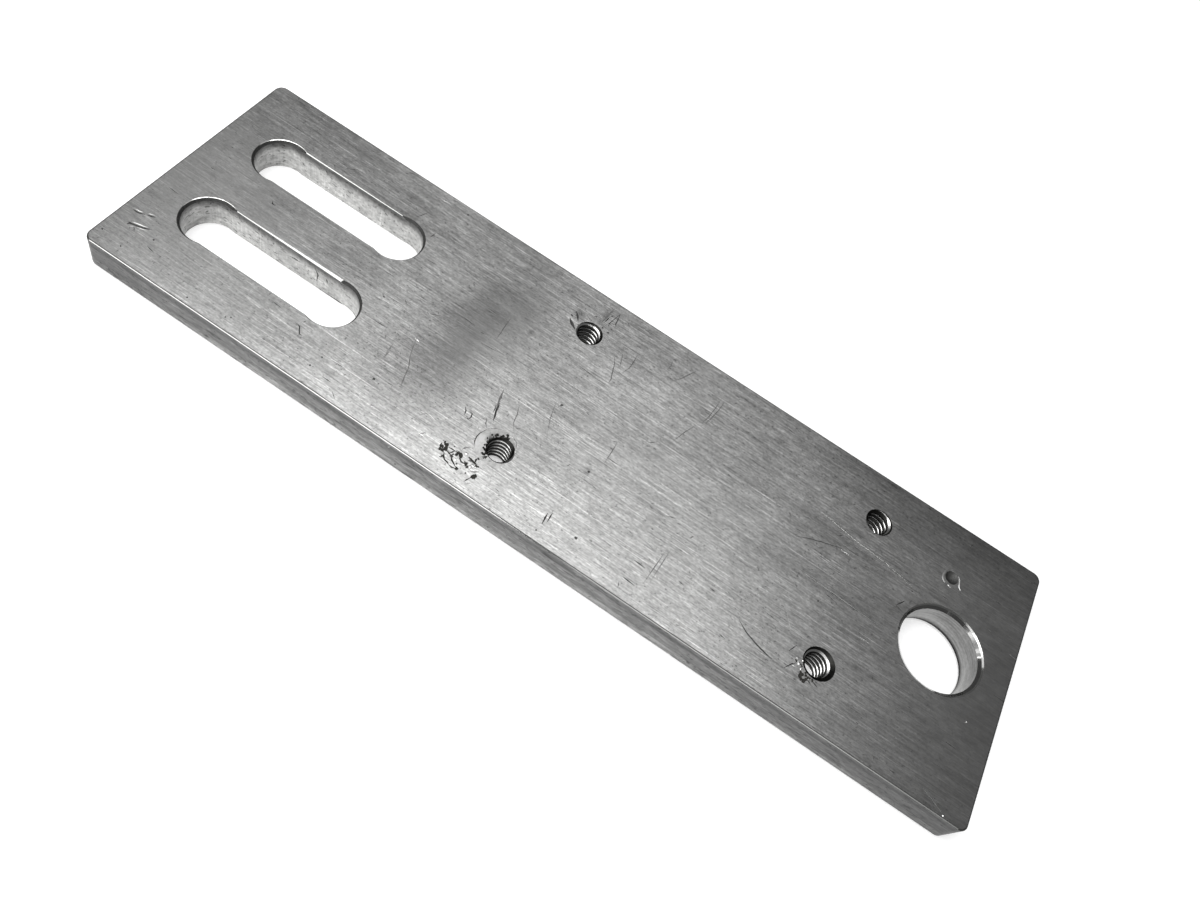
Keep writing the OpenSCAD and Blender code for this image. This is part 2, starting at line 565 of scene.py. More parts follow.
def countersink(
    centre: Vector, level: float, radius: float, slope: float, finish: Finish, from_top: bool
) -> bmesh.types.BMesh:
    """Makes a conical tool that starts inside a hole and opens out past a face.

    Args:
        centre: Place of its axis.
        level: Height of the face.
        radius: Radius of the cone at the face.
        slope: Drop for each unit of radius.
        finish: The finish that it leaves.
        from_top: Whether it enters from above.

    Returns:
        The tool.
    """
    inward = min(radius * SINK_SHARE, SINK_REACH)
    inner = (level - inward * slope, radius - inward)
    outer = (level + OVERRUN, radius + OVERRUN / slope)
    if from_top:
        return drill(centre, inner, outer, finish)
    return drill(centre, (2 * level - outer[0], outer[1]), (2 * level - inner[0], inner[1]), finish)


@dataclass(frozen=True)
class Station:
    """One cross section of a groove: its place and how wide and deep the tool is there."""

    place: Vector
    half_width: float
    depth: float


def plough(
    tool: bmesh.types.BMesh, stations: Sequence[Station], up: Vector, finish: Finish
) -> bmesh.types.BMesh:
    """Adds to a tool a four-sided bar that runs through its stations and cuts a V groove.

    Args:
        tool: The mesh to add to.
        stations: The cross sections, in order.
        up: Direction out of the surface that is cut.
        finish: The finish that it leaves.

    Returns:
        The tool.
    """
    old_faces = len(tool.faces)
    rings = []
    for index, station in enumerate(stations):
        ahead = stations[min(index + 1, len(stations) - 1)].place
        behind = stations[max(index - 1, 0)].place
        along = (ahead - behind).normalized()
        aside = along.cross(up).normalized()
        placed = Matrix((aside * station.half_width, up * station.depth, along)).transposed().to_4x4()
        placed.translation = station.place
        made = bmesh.ops.create_circle(tool, segments=4, radius=1.0, matrix=placed)
        rings.append(ordered(edge for vert in made["verts"] for edge in vert.link_edges))
    for first, second in zip(rings, rings[1:]):
        bmesh.ops.bridge_loops(tool, edges=first + second)
    for ring in (rings[0], rings[-1]):
        bmesh.ops.edgeloop_fill(tool, edges=ring)
    return paint(tool, finish, tool.faces[old_faces:])


class Workpiece:
    """The bar while it is being worked, in millimetres."""

    def __init__(self, name: str, blank: bmesh.types.BMesh) -> None:
        """Puts the blank in the scene with every finish in its slots.

        Args:
            name: Name of the piece.
            blank: The bar before machining.
        """
        self.materials = [FINISHES[finish].build() for finish in Finish]
        self.piece = self._place(name, blank)

    def _place(self, name: str, shape: bmesh.types.BMesh) -> bpy.types.Object:
        """Turns a bmesh into an object at the origin.

        Args:
            name: Name of the object.
            shape: The mesh, which is freed.

        Returns:
            The object.
        """
        mesh = bpy.data.meshes.new(name)
        shape.to_mesh(mesh)
        shape.free()
        for material in self.materials:
            mesh.materials.append(material)
        placed = bpy.data.objects.new(name, mesh)
        bpy.context.scene.collection.objects.link(placed)
        return placed

    def machine(self, label: str, tool: bmesh.types.BMesh, work: Work = Work.CUT) -> None:
        """Cuts a tool out of the bar, or raises it on the bar.

        Args:
            label: What the step makes, for the report.
            tool: The closed mesh, which is freed.
            work: Whether the tool cuts or raises.
        """
        cutter = self._place("tool", tool)
        step = self.piece.modifiers.new("machining", "BOOLEAN")
        step.operation = work.value
        step.solver = "MANIFOLD"
        step.material_mode = "INDEX"
        step.object = cutter
        evaluated = self.piece.evaluated_get(bpy.context.evaluated_depsgraph_get())
        machined = bpy.data.meshes.new_from_object(evaluated)
        self.piece.modifiers.remove(step)
        worn_out = (self.piece.data, cutter.data)
        self.piece.data = machined
        bpy.data.objects.remove(cutter)
        for mesh in worn_out:
            bpy.data.meshes.remove(mesh)
        log.info("%s: %d faces", label, len(machined.polygons))

    def finish(self) -> bpy.types.Object:
        """Cleans the mesh, brings it to metres, lays the grain's UV map on it and evens its normals.

        Returns:
            The finished piece.
        """
        mesh = self.piece.data
        mesh.name = self.piece.name
        shape = bmesh.new()
        shape.from_mesh(mesh)
        bmesh.ops.remove_doubles(shape, verts=shape.verts[:], dist=WELD)
        bmesh.ops.dissolve_degenerate(shape, edges=shape.edges[:], dist=WELD)
        self._lay_grain(shape)
        self._part_edges(shape)
        broken = sum(not edge.is_manifold for edge in shape.edges)
        log.info("%s: %d faces, %d open or shared edges", self.piece.name, len(shape.faces), broken)
        bmesh.ops.scale(shape, vec=(MM, MM, MM), verts=shape.verts[:])
        shape.to_mesh(mesh)
        shape.free()
        normals = self.piece.modifiers.new("even normals", "WEIGHTED_NORMAL")
        normals.keep_sharp = True
        return self.piece

    def _lay_grain(self, shape: bmesh.types.BMesh) -> None:
        """Lays a UV map whose first axis runs along the grain: along X, or level round a wall.

        Args:
            shape: The finished mesh.
        """
        grain = shape.loops.layers.uv.new(GRAIN_MAP)
        for face in shape.faces:
            flat = abs(face.normal.z) > SQUARE_ON
            across = Vector((1, 0, 0)) if flat else UP.cross(face.normal).normalized()
            upward = Vector((0, 1, 0)) if flat else face.normal.cross(across)
            for loop in face.loops:
                loop[grain].uv = (loop.vert.co.dot(across), loop.vert.co.dot(upward))

    def _part_edges(self, shape: bmesh.types.BMesh) -> None:
        """Smooths the faces, and keeps the edges sharp where they turn hard or bound a worked finish.

        Args:
            shape: The finished mesh.
        """
        for edge in shape.edges:
            finishes = {Finish(face.material_index) for face in edge.link_faces}
            scarred = len(finishes) > 1 and bool(finishes & SCARRED)
            edge.smooth = edge.is_manifold and edge.calc_face_angle() < SHARP_ANGLE and not scarred
        for face in shape.faces:
            face.smooth = True


@dataclass
class DrawnBar:
    """The bar as it comes from the saw: its corners and edges broken, its sides drawn."""

    length: float
    width: float
    thickness: float
    slotted_corner_r: float = 1.6
    bored_corner_r: float = 1.4
    top_edge_r: float = 0.30
    bottom_edge_r: float = 0.3
    corner_segments: int = 8
    edge_segments: int = 3
    cell: float = 9.0
    # Shares of a facet's normal: below the first it belongs to a side and above the second to a wide face
    rounding: tuple[float, float] = (0.1, 0.98)
    under_rounding: tuple[float, float] = (0.1, 0.95)
    # Share of a normal from which a facet of the top rounding faces an end or a side
    facing: float = 0.3
    # Least upward share of the normal of a facet that takes the bright finish as a painted highlight
    bright_from: float = 0.4
    # Height and depth of the ridges and lines that the die leaves along the sides
    die_marks: tuple[tuple[float, float], ...] = (
        (5.35, 0.0), (4.65, 0.03), (3.5, 0.02), (2.35, 0.01), (2.15, 0.05), (1.95, 0.015), (1.0, 0.0),
    )

    def build(self) -> bmesh.types.BMesh:
        """Makes the bar.

        Returns:
            A closed mesh with its underside at Z = 0.
        """
        bar = bmesh.new()
        size = Matrix.Diagonal((self.length, self.width, self.thickness, 1))
        bmesh.ops.create_cube(bar, size=1.0, matrix=Matrix.Translation((0, 0, self.thickness / 2)) @ size)
        for face in bar.faces:
            face.material_index = Finish.FACE if abs(face.normal.z) > SQUARE_ON else self._wall_finish(face)
        for end, radius in ((-1, self.slotted_corner_r), (1, self.bored_corner_r)):
            corners = [
                edge for edge in bar.edges
                if abs(edge.verts[0].co.z - edge.verts[1].co.z) > self.thickness / 2
                and edge.verts[0].co.x * end > 0
            ]
            self._bevel(bar, corners, radius, self.corner_segments)
        for level, radius in ((self.thickness, self.top_edge_r), (0.0, self.bottom_edge_r)):
            rim = [edge for edge in bar.edges if all(abs(v.co.z - level) < WELD for v in edge.verts)]
            self._bevel(bar, rim, radius, self.edge_segments)
            for face in bar.faces:
                if level == 0.0 and self.under_rounding[0] < -face.normal.z < self.under_rounding[1]:
                    face.material_index = self._wall_finish(face)
                elif level > 0.0 and self.rounding[0] < face.normal.z < self.rounding[1]:
                    face.material_index = self._edge_finish(face.normal)
        self._draw_sides(bar)
        self._divide_faces(bar)
        return bar

    def _wall_finish(self, face: bmesh.types.BMFace) -> Finish:
        """Returns the finish of the long side or the sawn end that a face belongs to."""
        return Finish.SIDE if abs(face.normal.y) > abs(face.normal.x) else Finish.SAWN

    def _edge_finish(self, normal: Vector) -> Finish:
        """Chooses the finish of a facet of the top rounding: a bright finish as painted highlight on the
        near edge's middle facets, painted shade at the ends and along the far edge, and else the face's or
        the side's finish.

        Args:
            normal: The facet's normal.

        Returns:
            The finish.
        """
        if normal.x < -self.facing:
            return Finish.GREASED_AND_SHADE
        if normal.y > -self.facing or normal.x > self.facing:
            return Finish.SCORED_AND_SHADE
        if normal.z > SQUARE_ON:
            return Finish.FACE
        return Finish.CHAMFER if normal.z > self.bright_from else Finish.SIDE

    def _bevel(self, bar: bmesh.types.BMesh, edges: list, radius: float, segments: int) -> None:
        """Rounds edges of the bar.

        Args:
            bar: The bar.
            edges: The edges to round.
            radius: Radius of the rounding.
            segments: Flats in the rounding.
        """
        bmesh.ops.bevel(
            bar, geom=edges, offset=radius, offset_type="OFFSET", affect="EDGES", segments=segments,
            profile=0.5, material=-1, clamp_overlap=False,
        )

    def _draw_sides(self, bar: bmesh.types.BMesh) -> None:
        """Presses the die's marks into both long sides.

        Args:
            bar: The bar.
        """
        for height, depth in self.die_marks:
            sides = [
                face for face in bar.faces
                if abs(face.normal.y) > SQUARE_ON and face.material_index == Finish.SIDE
            ]
            geometry = ordered(item for face in sides for item in (face, *face.edges, *face.verts))
            made = bmesh.ops.bisect_plane(bar, geom=geometry, plane_co=(0, 0, height), plane_no=UP)
            for vert in made["geom_cut"]:
                if isinstance(vert, bmesh.types.BMVert):
                    vert.co.y -= math.copysign(depth, vert.co.y)

    def _divide_faces(self, bar: bmesh.types.BMesh) -> None:
        """Divides the wide faces into cells, so that no face has more than a few cuts in it.

        Args:
            bar: The bar.
        """
        for axis, extent in ((Vector((1, 0, 0)), self.length), (Vector((0, 1, 0)), self.width)):
            count = round(extent / self.cell)
            for index in range(1, count):
                place = axis * (extent * (index / count - 0.5) + CELL_SHIFT)
                geometry = bar.verts[:] + bar.edges[:] + bar.faces[:]
                bmesh.ops.bisect_plane(bar, geom=geometry, plane_co=place, plane_no=axis)


@dataclass
class AdjustingSlot:
    """A hole drilled at each end, the metal between them milled away, and the edges broken."""

    centre: Vector
    thickness: float
    # Width of the chamfer on the far top edge at its left and right end
    far_chamfer: tuple[float, float]
    width: float = 9.2
    end_d: float = 9.4
    travel: float = 25.2
    end_chamfer: float = 0.4
    # Width and slope of the bright line round the left end's chamfer, whose dark finish is painted shade
    end_rim: float = 0.46
    end_rim_slope: float = 0.5
    end_slope: float = 1.3
    near_chamfer: float = 0.25
    under_chamfer: float = 0.1
    end_under_chamfer: float = 0.16

    def cut(self, work: Workpiece) -> None:
        """Cuts the slot.

        Args:
            work: The bar.
        """
        low, high = -OVERRUN, self.thickness + OVERRUN
        radius = self.end_d / 2
        ends = [self.centre + Vector((side * self.travel / 2, 0, 0)) for side in (-1, 1)]
        for end in ends:
            work.machine("slot end", drill(end, (low, radius), (high, radius), Finish.MILLED))
        mill = bmesh.new()
        size = Matrix.Diagonal((self.travel, self.width, high - low, 1))
        middle = Vector((self.centre.x, self.centre.y, self.thickness / 2))
        bmesh.ops.create_cube(mill, size=1.0, matrix=Matrix.Translation(middle) @ size)
        work.machine("slot middle", paint(mill, Finish.MILLED))
        for end in ends:
            # The end chamfers take the dark scored finish as painted shade
            work.machine("slot end chamfer", countersink(
                end, self.thickness, radius + self.end_chamfer, self.end_slope, Finish.SCORED_AND_SHADE, True,
            ))
            work.machine("slot end under chamfer", countersink(
                end, 0.0, radius + self.end_under_chamfer, SINK_SLOPE, Finish.CHAMFER, False,
            ))
        work.machine("slot end rim", countersink(
            ends[0], self.thickness, radius + self.end_rim, self.end_rim_slope, Finish.CHAMFER, True,
        ))
        self._break_edges(work, ends)

    def _break_edges(self, work: Workpiece, ends: list[Vector]) -> None:
        """Breaks the straight edges.

        Args:
            work: The bar.
            ends: Centres of the two drilled ends.
        """
        under = (self.under_chamfer,) * 2
        for side, level, sizes in (
            (1, self.thickness, self.far_chamfer), (-1, self.thickness, (self.near_chamfer,) * 2),
            (1, 0.0, under), (-1, 0.0, under),
        ):
            stations = [
                Station(Vector((end.x + aside, end.y + side * self.width / 2, level)), size, size)
                for end, size, aside in zip(ends, sizes, (-END_LAP, END_LAP))
            ]
            work.machine("slot edge", plough(bmesh.new(), stations, UP, Finish.CHAMFER))


@dataclass
class ChamferedBore:
    """The large bore, chamfered on both faces."""

    centre: Vector
    radius: float
    thickness: float
    chamfer: float = 0.65
    # How far the bright rim stands outside the chamfer, and its slope
    rim: float = 0.05
    rim_slope: float = 0.8

    def cut(self, work: Workpiece) -> None:
        """Cuts the bore.

        Args:
            work: The bar.
        """
        low, high = -OVERRUN, self.thickness + OVERRUN
        wide = self.radius + self.chamfer
        work.machine("bore", drill(self.centre, (low, self.radius), (high, self.radius), Finish.BORED))
        for level, from_top in ((self.thickness, True), (0.0, False)):
            chamfer = countersink(self.centre, level, wide, SINK_SLOPE, Finish.TURNED, from_top)
            work.machine("bore chamfer", chamfer)
        work.machine("bore rim", countersink(
            self.centre, self.thickness, wide + self.rim, self.rim_slope, Finish.CHAMFER, True,
        ))


@dataclass
class TappedHole:
    """A hole tapped through the bar, with a true helical thread."""

    centre: Vector
    thickness: float
    crest_r: float
    start_angle: float
    # Radius of the countersink at the top face, and how far it stands off the axis
    countersink_r: float = 2.45
    countersink_shift: tuple[float, float] = (0.0, 0.0)
    root_r: float = 2.415
    pitch: float = 25.4 / 24
    flank_angle: float = 30.0
    # Width of the flat at the thread's root, as a share of the pitch
    root_flat: float = 0.125
    # Share of each flank, from the crest, that keeps the black finish as painted shade
    shaded_share: float = 0.35
    # How far the thread's tool laps into the hole, and how far the lower countersink is from the root
    crest_lap: float = 0.05
    under_sink_inset: float = 0.1
    # Least share of a normal that points up or down on a flank
    flank_share: float = 0.5
    steps_per_turn: int = 36

    def cut(self, work: Workpiece) -> None:
        """Cuts the hole, its thread and its countersinks.

        Args:
            work: The bar.
        """
        low, high = -OVERRUN, self.thickness + OVERRUN
        # The hole's wall, its countersink and the thread's other faces take the black finish as painted
        # shade
        hole = drill(self.centre, (low, self.crest_r), (high, self.crest_r), Finish.GREASED_AND_SHADE)
        work.machine("tapping hole", hole)
        work.machine("thread", self._thread(low))
        shifted = self.centre + Vector((*self.countersink_shift, 0))
        work.machine("countersink", countersink(
            shifted, self.thickness, self.countersink_r, SINK_SLOPE, Finish.GREASED_AND_SHADE, True,
        ))
        work.machine("under countersink", countersink(
            self.centre, 0.0, self.root_r - self.under_sink_inset, SINK_SLOPE, Finish.THREAD, False,
        ))

    def _thread(self, bottom: float) -> bmesh.types.BMesh:
        """Sweeps the groove's section up a helix that runs out past both faces.

        Args:
            bottom: Height of the first turn.

        Returns:
            The tool.
        """
        flank = math.tan(math.radians(self.flank_angle))
        inner_r = self.crest_r - self.crest_lap
        root_half = self.pitch * self.root_flat / 2
        inner_half = root_half + (self.root_r - inner_r) * flank
        shaded_r = self.crest_r + (self.root_r - self.crest_r) * self.shaded_share
        shaded_half = root_half + (self.root_r - shaded_r) * flank
        turns = math.ceil((self.thickness + 2 * OVERRUN) / self.pitch)
        tool = bmesh.new()
        section = [
            tool.verts.new((radius, 0, height)) for radius, height in (
                (inner_r, -inner_half), (shaded_r, -shaded_half), (self.root_r, -root_half),
                (self.root_r, root_half), (inner_r, inner_half),
            )
        ]
        edges = [tool.edges.new((a, b)) for a, b in zip(section, section[1:] + section[:1])]
        bmesh.ops.spin(
            tool, geom=section + edges, cent=(0, 0, 0), axis=UP, angle=turns * math.tau,
            dvec=(0, 0, self.pitch / self.steps_per_turn), steps=turns * self.steps_per_turn,
        )
        bmesh.ops.holes_fill(tool, edges=[edge for edge in tool.edges if edge.is_boundary])
        turned = Matrix.Rotation(math.radians(self.start_angle), 4, "Z")
        placed = Matrix.Translation((self.centre.x, self.centre.y, bottom)) @ turned
        bmesh.ops.transform(tool, matrix=placed, verts=tool.verts[:])
        paint(tool, Finish.GREASED_AND_SHADE)
        # The tool's lower flanks cut the flanks of the thread that face up
        for face in tool.faces:
            across = face.calc_center_median() - self.centre
            if face.normal.z < -self.flank_share and across.xy.length > shaded_r:
                face.material_index = Finish.THREAD
        return tool


@dataclass
class DrillSpot:
    """The shallow cone of a drill point that was started and given up."""

    centre: Vector
    thickness: float
    radius: float = 1.2
    point_angle: float = 118.0

    def cut(self, work: Workpiece) -> None:
        """Cuts the spot.

        Args:
            work: The bar.
        """
        slope = 1 / math.tan(math.radians(self.point_angle / 2))
        tip = (self.thickness - self.radius * slope, 0.0)
        past = (self.thickness + OVERRUN, self.radius + OVERRUN / slope)
        # The cone takes the dark scored finish as painted shade
        work.machine("drill spot", drill(self.centre, tip, past, Finish.SCORED_AND_SHADE))


@dataclass(frozen=True)
class Surface:
    """A flat surface that can be marked."""

    name: str
    origin: Vector
    across: Vector
    upward: Vector
    out: Vector

    def at(self, point: tuple[float, float]) -> Vector:
        """Returns the place of a point of the surface."""
        return self.origin + self.across * point[0] + self.upward * point[1]


class Mark(ABC):
    """A mark on one surface, cut in or raised."""

    finish: Finish
    raised: bool

    @abstractmethod
    def reach(self) -> tuple[float, float, float, float]:
        """Returns the lowest and highest corner of the mark with room round it."""

    @abstractmethod
    def shape(self, tool: bmesh.types.BMesh, surface: Surface, rng: random.Random) -> None:
        """Adds the mark's own form to a tool.

        Args:
            tool: The mesh to add to.
            surface: The surface that is marked.
            rng: Source of the unevenness.
        """

    def meets(self, other: "Mark") -> bool:
        """Tells whether two marks may touch, so that one pass can't make both."""
        a, b = self.reach(), other.reach()
        return a[0] < b[2] and b[0] < a[2] and a[1] < b[3] and b[1] < a[3]


@dataclass(frozen=True)
class Scratch(Mark):
    """A scratch or gouge through points of a surface, or a raised burr."""

    points: tuple[tuple[float, float], ...]
    width: float = 0.16
    depth: float = 0.05
    finish: Finish = Finish.SCORED_AND_SHADE
    raised: bool = False

    def reach(self) -> tuple[float, float, float, float]:
        """Returns the lowest and highest corner of the scratch with room round it."""
        across, upward = zip(*self.points)
        room = self.width + SCRATCH_ROOM
        return min(across) - room, min(upward) - room, max(across) + room, max(upward) + room

    def shape(self, tool: bmesh.types.BMesh, surface: Surface, rng: random.Random) -> None:
        """Adds a V-shaped bar, narrow at both ends and uneven between them.

        Args:
            tool: The mesh to add to.
            surface: The surface that is scratched.
            rng: Source of the unevenness.
        """
        points = [surface.at(point) for point in self.points]
        if len(points) == 2:
            points.insert(1, points[0].lerp(points[1], rng.uniform(*SCRATCH_MIDDLE)))
        last = len(points) - 1
        stations = []
        for index, point in enumerate(points):
            share = SCRATCH_END if index in (0, last) else rng.uniform(*SCRATCH_BODY)
            stations.append(Station(point, self.width / 2 * share, self.depth * share))
        plough(tool, stations, surface.out, self.finish)


@dataclass(frozen=True)
class Lump(Mark):
    """An irregular pit, or a crumb that stands proud."""

    place: tuple[float, float]
    radius: float
    finish: Finish = Finish.SOIL
    raised: bool = False
    # Depth, or height, for each unit of radius
    relief: float = 0.35

    def reach(self) -> tuple[float, float, float, float]:
        """Returns the lowest and highest corner of the lump with room round it."""
        room = self.radius * LUMP_ROOM
        return self.place[0] - room, self.place[1] - room, self.place[0] + room, self.place[1] + room

    def shape(self, tool: bmesh.types.BMesh, surface: Surface, rng: random.Random) -> None:
        """Adds a flattened ball with an uneven outline.

        Args:
            tool: The mesh to add to.
            surface: The surface that is marked.
            rng: Source of the unevenness.
        """
        old_faces = len(tool.faces)
        made = bmesh.ops.create_icosphere(tool, subdivisions=2, radius=self.radius)
        for vert in made["verts"]:
            vert.co *= rng.uniform(*LUMP_OUTLINE)
        flat = Matrix.Diagonal((rng.uniform(*LUMP_STRETCH), 1, self.relief, 1))
        turned = Matrix.Rotation(rng.uniform(0, math.tau), 4, "Z") @ flat
        laid = Matrix((surface.across, surface.upward, surface.out)).transposed().to_4x4()
        laid.translation = surface.at(self.place)
        bmesh.ops.transform(tool, matrix=laid @ turned, verts=made["verts"])
        paint(tool, self.finish, tool.faces[old_faces:])


def arc(
    centre: tuple[float, float], radius: float, start: float, end: float, steps: int = 7
) -> tuple[tuple[float, float], ...]:
    """Lists points along an arc.

    Args:
        centre: Centre of the arc.
        radius: Its radius.
        start: First angle, in degrees from +X.
        end: Last angle.
        steps: Straight stretches.

    Returns:
        The points.
    """
    angles = [math.radians(start + (end - start) * index / steps) for index in range(steps + 1)]
    return tuple((centre[0] + radius * math.cos(a), centre[1] + radius * math.sin(a)) for a in angles)


def hairline(*points: tuple[float, float]) -> Scratch:
    """Returns a faint thin scratch through points of a surface."""
    return Scratch(points, 0.16, 0.03, Finish.SCUFFED)


def burr(*points: tuple[float, float], width: float = 0.18, height: float = 0.08) -> Scratch:
    """Returns a bright burr that stands up along points of a surface."""
    return Scratch(points, width, height, Finish.SMEARED, True)


def beads(relief: float, *heaps: tuple[tuple[float, float], float]) -> tuple[Lump, ...]:
    """Returns crumbs of smeared metal that stand proud, each given by its place and radius."""
    return tuple(Lump(place, radius, Finish.SMEARED, True, relief) for place, radius in heaps)


@dataclass(frozen=True)
class Opening:
    """A hole or slot with its chamfer, which fine nicks keep off."""

    centre: tuple[float, float]
    radius: float
    half_travel: float = 0.0

    def holds(self, point: tuple[float, float]) -> bool:
        """Tells whether a point lies in the opening."""
        along = max(abs(point[0] - self.centre[0]) - self.half_travel, 0.0)
        return math.hypot(along, point[1] - self.centre[1]) < self.radius


@dataclass(frozen=True)
class Nicks:
    """Fine nicks scattered over a surface, most of them along the bar."""

    count: int
    seed: int
    length: tuple[float, float] = (0.5, 1.2)
    # A nick's length is multiplied by one of these
    stretches: tuple[int, ...] = (1, 1, 2, 3)
    # Share of the nicks that run along the bar, and how far their angles spread, in degrees
    along_share: float = 0.75
    spread: float = 5.0
    width: tuple[float, float] = (0.10, 0.17)
    depth: tuple[float, float] = (0.010, 0.020)
    # How many times deeper a dark nick is than a bright one
    dark_deepening: int = 2

    def scatter(
        self, low: tuple[float, float], high: tuple[float, float], openings: Sequence[Opening] = ()
    ) -> tuple[Scratch, ...]:
        """Makes the nicks.

        Args:
            low: Lowest corner of their ground.
            high: Highest corner of their ground.
            openings: What they keep off.

        Returns:
            The nicks.
        """
        rng = random.Random(self.seed)
        scattered = []
        for _ in range(self.count):
            x, y = rng.uniform(low[0], high[0]), rng.uniform(low[1], high[1])
            length = rng.uniform(*self.length) * rng.choice(self.stretches)
            along = rng.random() < self.along_share
            angle = math.radians(rng.gauss(0, self.spread) if along else rng.uniform(-90, 90))
            end_y = min(max(y + length * math.sin(angle), low[1]), high[1])
            points = ((x, y), (x + length * math.cos(angle), end_y))
            finish = rng.choice((Finish.SCORED_AND_SHADE, Finish.SCORED_AND_SHADE, Finish.SMEARED))
            depth = rng.uniform(*self.depth) * (self.dark_deepening if finish == Finish.SCORED_AND_SHADE else 1)
            width = rng.uniform(*self.width)
            if not any(opening.holds(point) for opening in openings for point in points):
                scattered.append(Scratch(points, width, depth, finish))
        return tuple(scattered)


def clot(
    place: tuple[float, float], radius: float, seed: int, finish: Finish = Finish.SOIL
) -> tuple[Lump, ...]:
    """Heaps crumbs into one ragged clot.

    Args:
        place: Middle of the clot.
        radius: Its rough radius.
        seed: Seed of the crumbs' places.
        finish: The finish of the crumbs.

    Returns:
        The crumbs.
    """
    rng = random.Random(seed)
    scatter = CRUMB_SCATTER
    return tuple(
        Lump((place[0] + rng.gauss(0, scatter) * radius, place[1] + rng.gauss(0, scatter) * radius),
             radius * rng.uniform(*CRUMB_SIZE), finish)
        for _ in range(CRUMBS)
    )


def clots(
    heaps: Iterable[tuple[tuple[float, float], float]], first_seed: int, finish: Finish = Finish.SOIL
) -> tuple[Lump, ...]:
    """Heaps several clots, each from a seed of its own.

    Args:
        heaps: Middle and rough radius of each clot.
        first_seed: Seed of the first clot; the others follow it.
        finish: The finish of the crumbs.

    Returns:
        All the crumbs.
    """
    return tuple(
        crumb for index, (place, radius) in enumerate(heaps)
        for crumb in clot(place, radius, first_seed + index, finish)
    )


@dataclass(frozen=True)
class TornRim:
    """Greasy clots that stand along an arc round a hole, by turns on a smaller and a larger radius."""

    hole: tuple[float, float]
    inner_r: float = 2.40
    step: float = 0.12
    start: float = 98.0
    end: float = 228.0
    teeth: int = 14
    tooth_r: float = 0.46
    first_seed: int = 40

    def crumbs(self) -> tuple[Lump, ...]:
        """Heaps the clots.

        Returns:
            Their crumbs.
        """
        last = self.teeth - 1
        rims = [arc(self.hole, self.inner_r + self.step * odd, self.start, self.end, last) for odd in (0, 1)]
        heaps = [(rims[tooth % 2][tooth], self.tooth_r) for tooth in range(self.teeth)]
        return clots(heaps, self.first_seed, Finish.GREASED_AND_SHADE)


CORNER_GOUGES: tuple[Mark, ...] = (
    Scratch(((-79.9, -15.35), (-79.1, -15.4), (-78.5, -15.25), (-77.8, -14.95)), 0.32, 0.14),
    Scratch(((-77.5, -14.8), (-76.9, -14.6), (-76.2, -14.25)), 0.34, 0.16),
    Scratch((
        (-78.5, -18.3), (-78.35, -17.85), (-77.6, -17.65), (-76.7, -17.45), (-75.9, -17.15), (-75.1, -16.75),
    ), 0.36, 0.17),
    burr((-79.6, -15.05), (-79.0, -15.0), (-78.3, -14.75)),
    burr((-77.6, -14.4), (-77.1, -14.25), (-76.6, -14.05)),
    burr((-78.2, -17.4), (-77.3, -17.15), (-76.3, -16.9), (-75.6, -16.6)),
    burr((-77.0, -17.8), (-76.2, -17.55), (-75.3, -17.15), width=0.14, height=0.05),
    Scratch(arc((-77.3, -18.5), 0.40, -60, 230), 0.24, 0.05, Finish.SCUFFED),
    hairline((-76.1, -17.6), (-76.5, -18.3)),
)

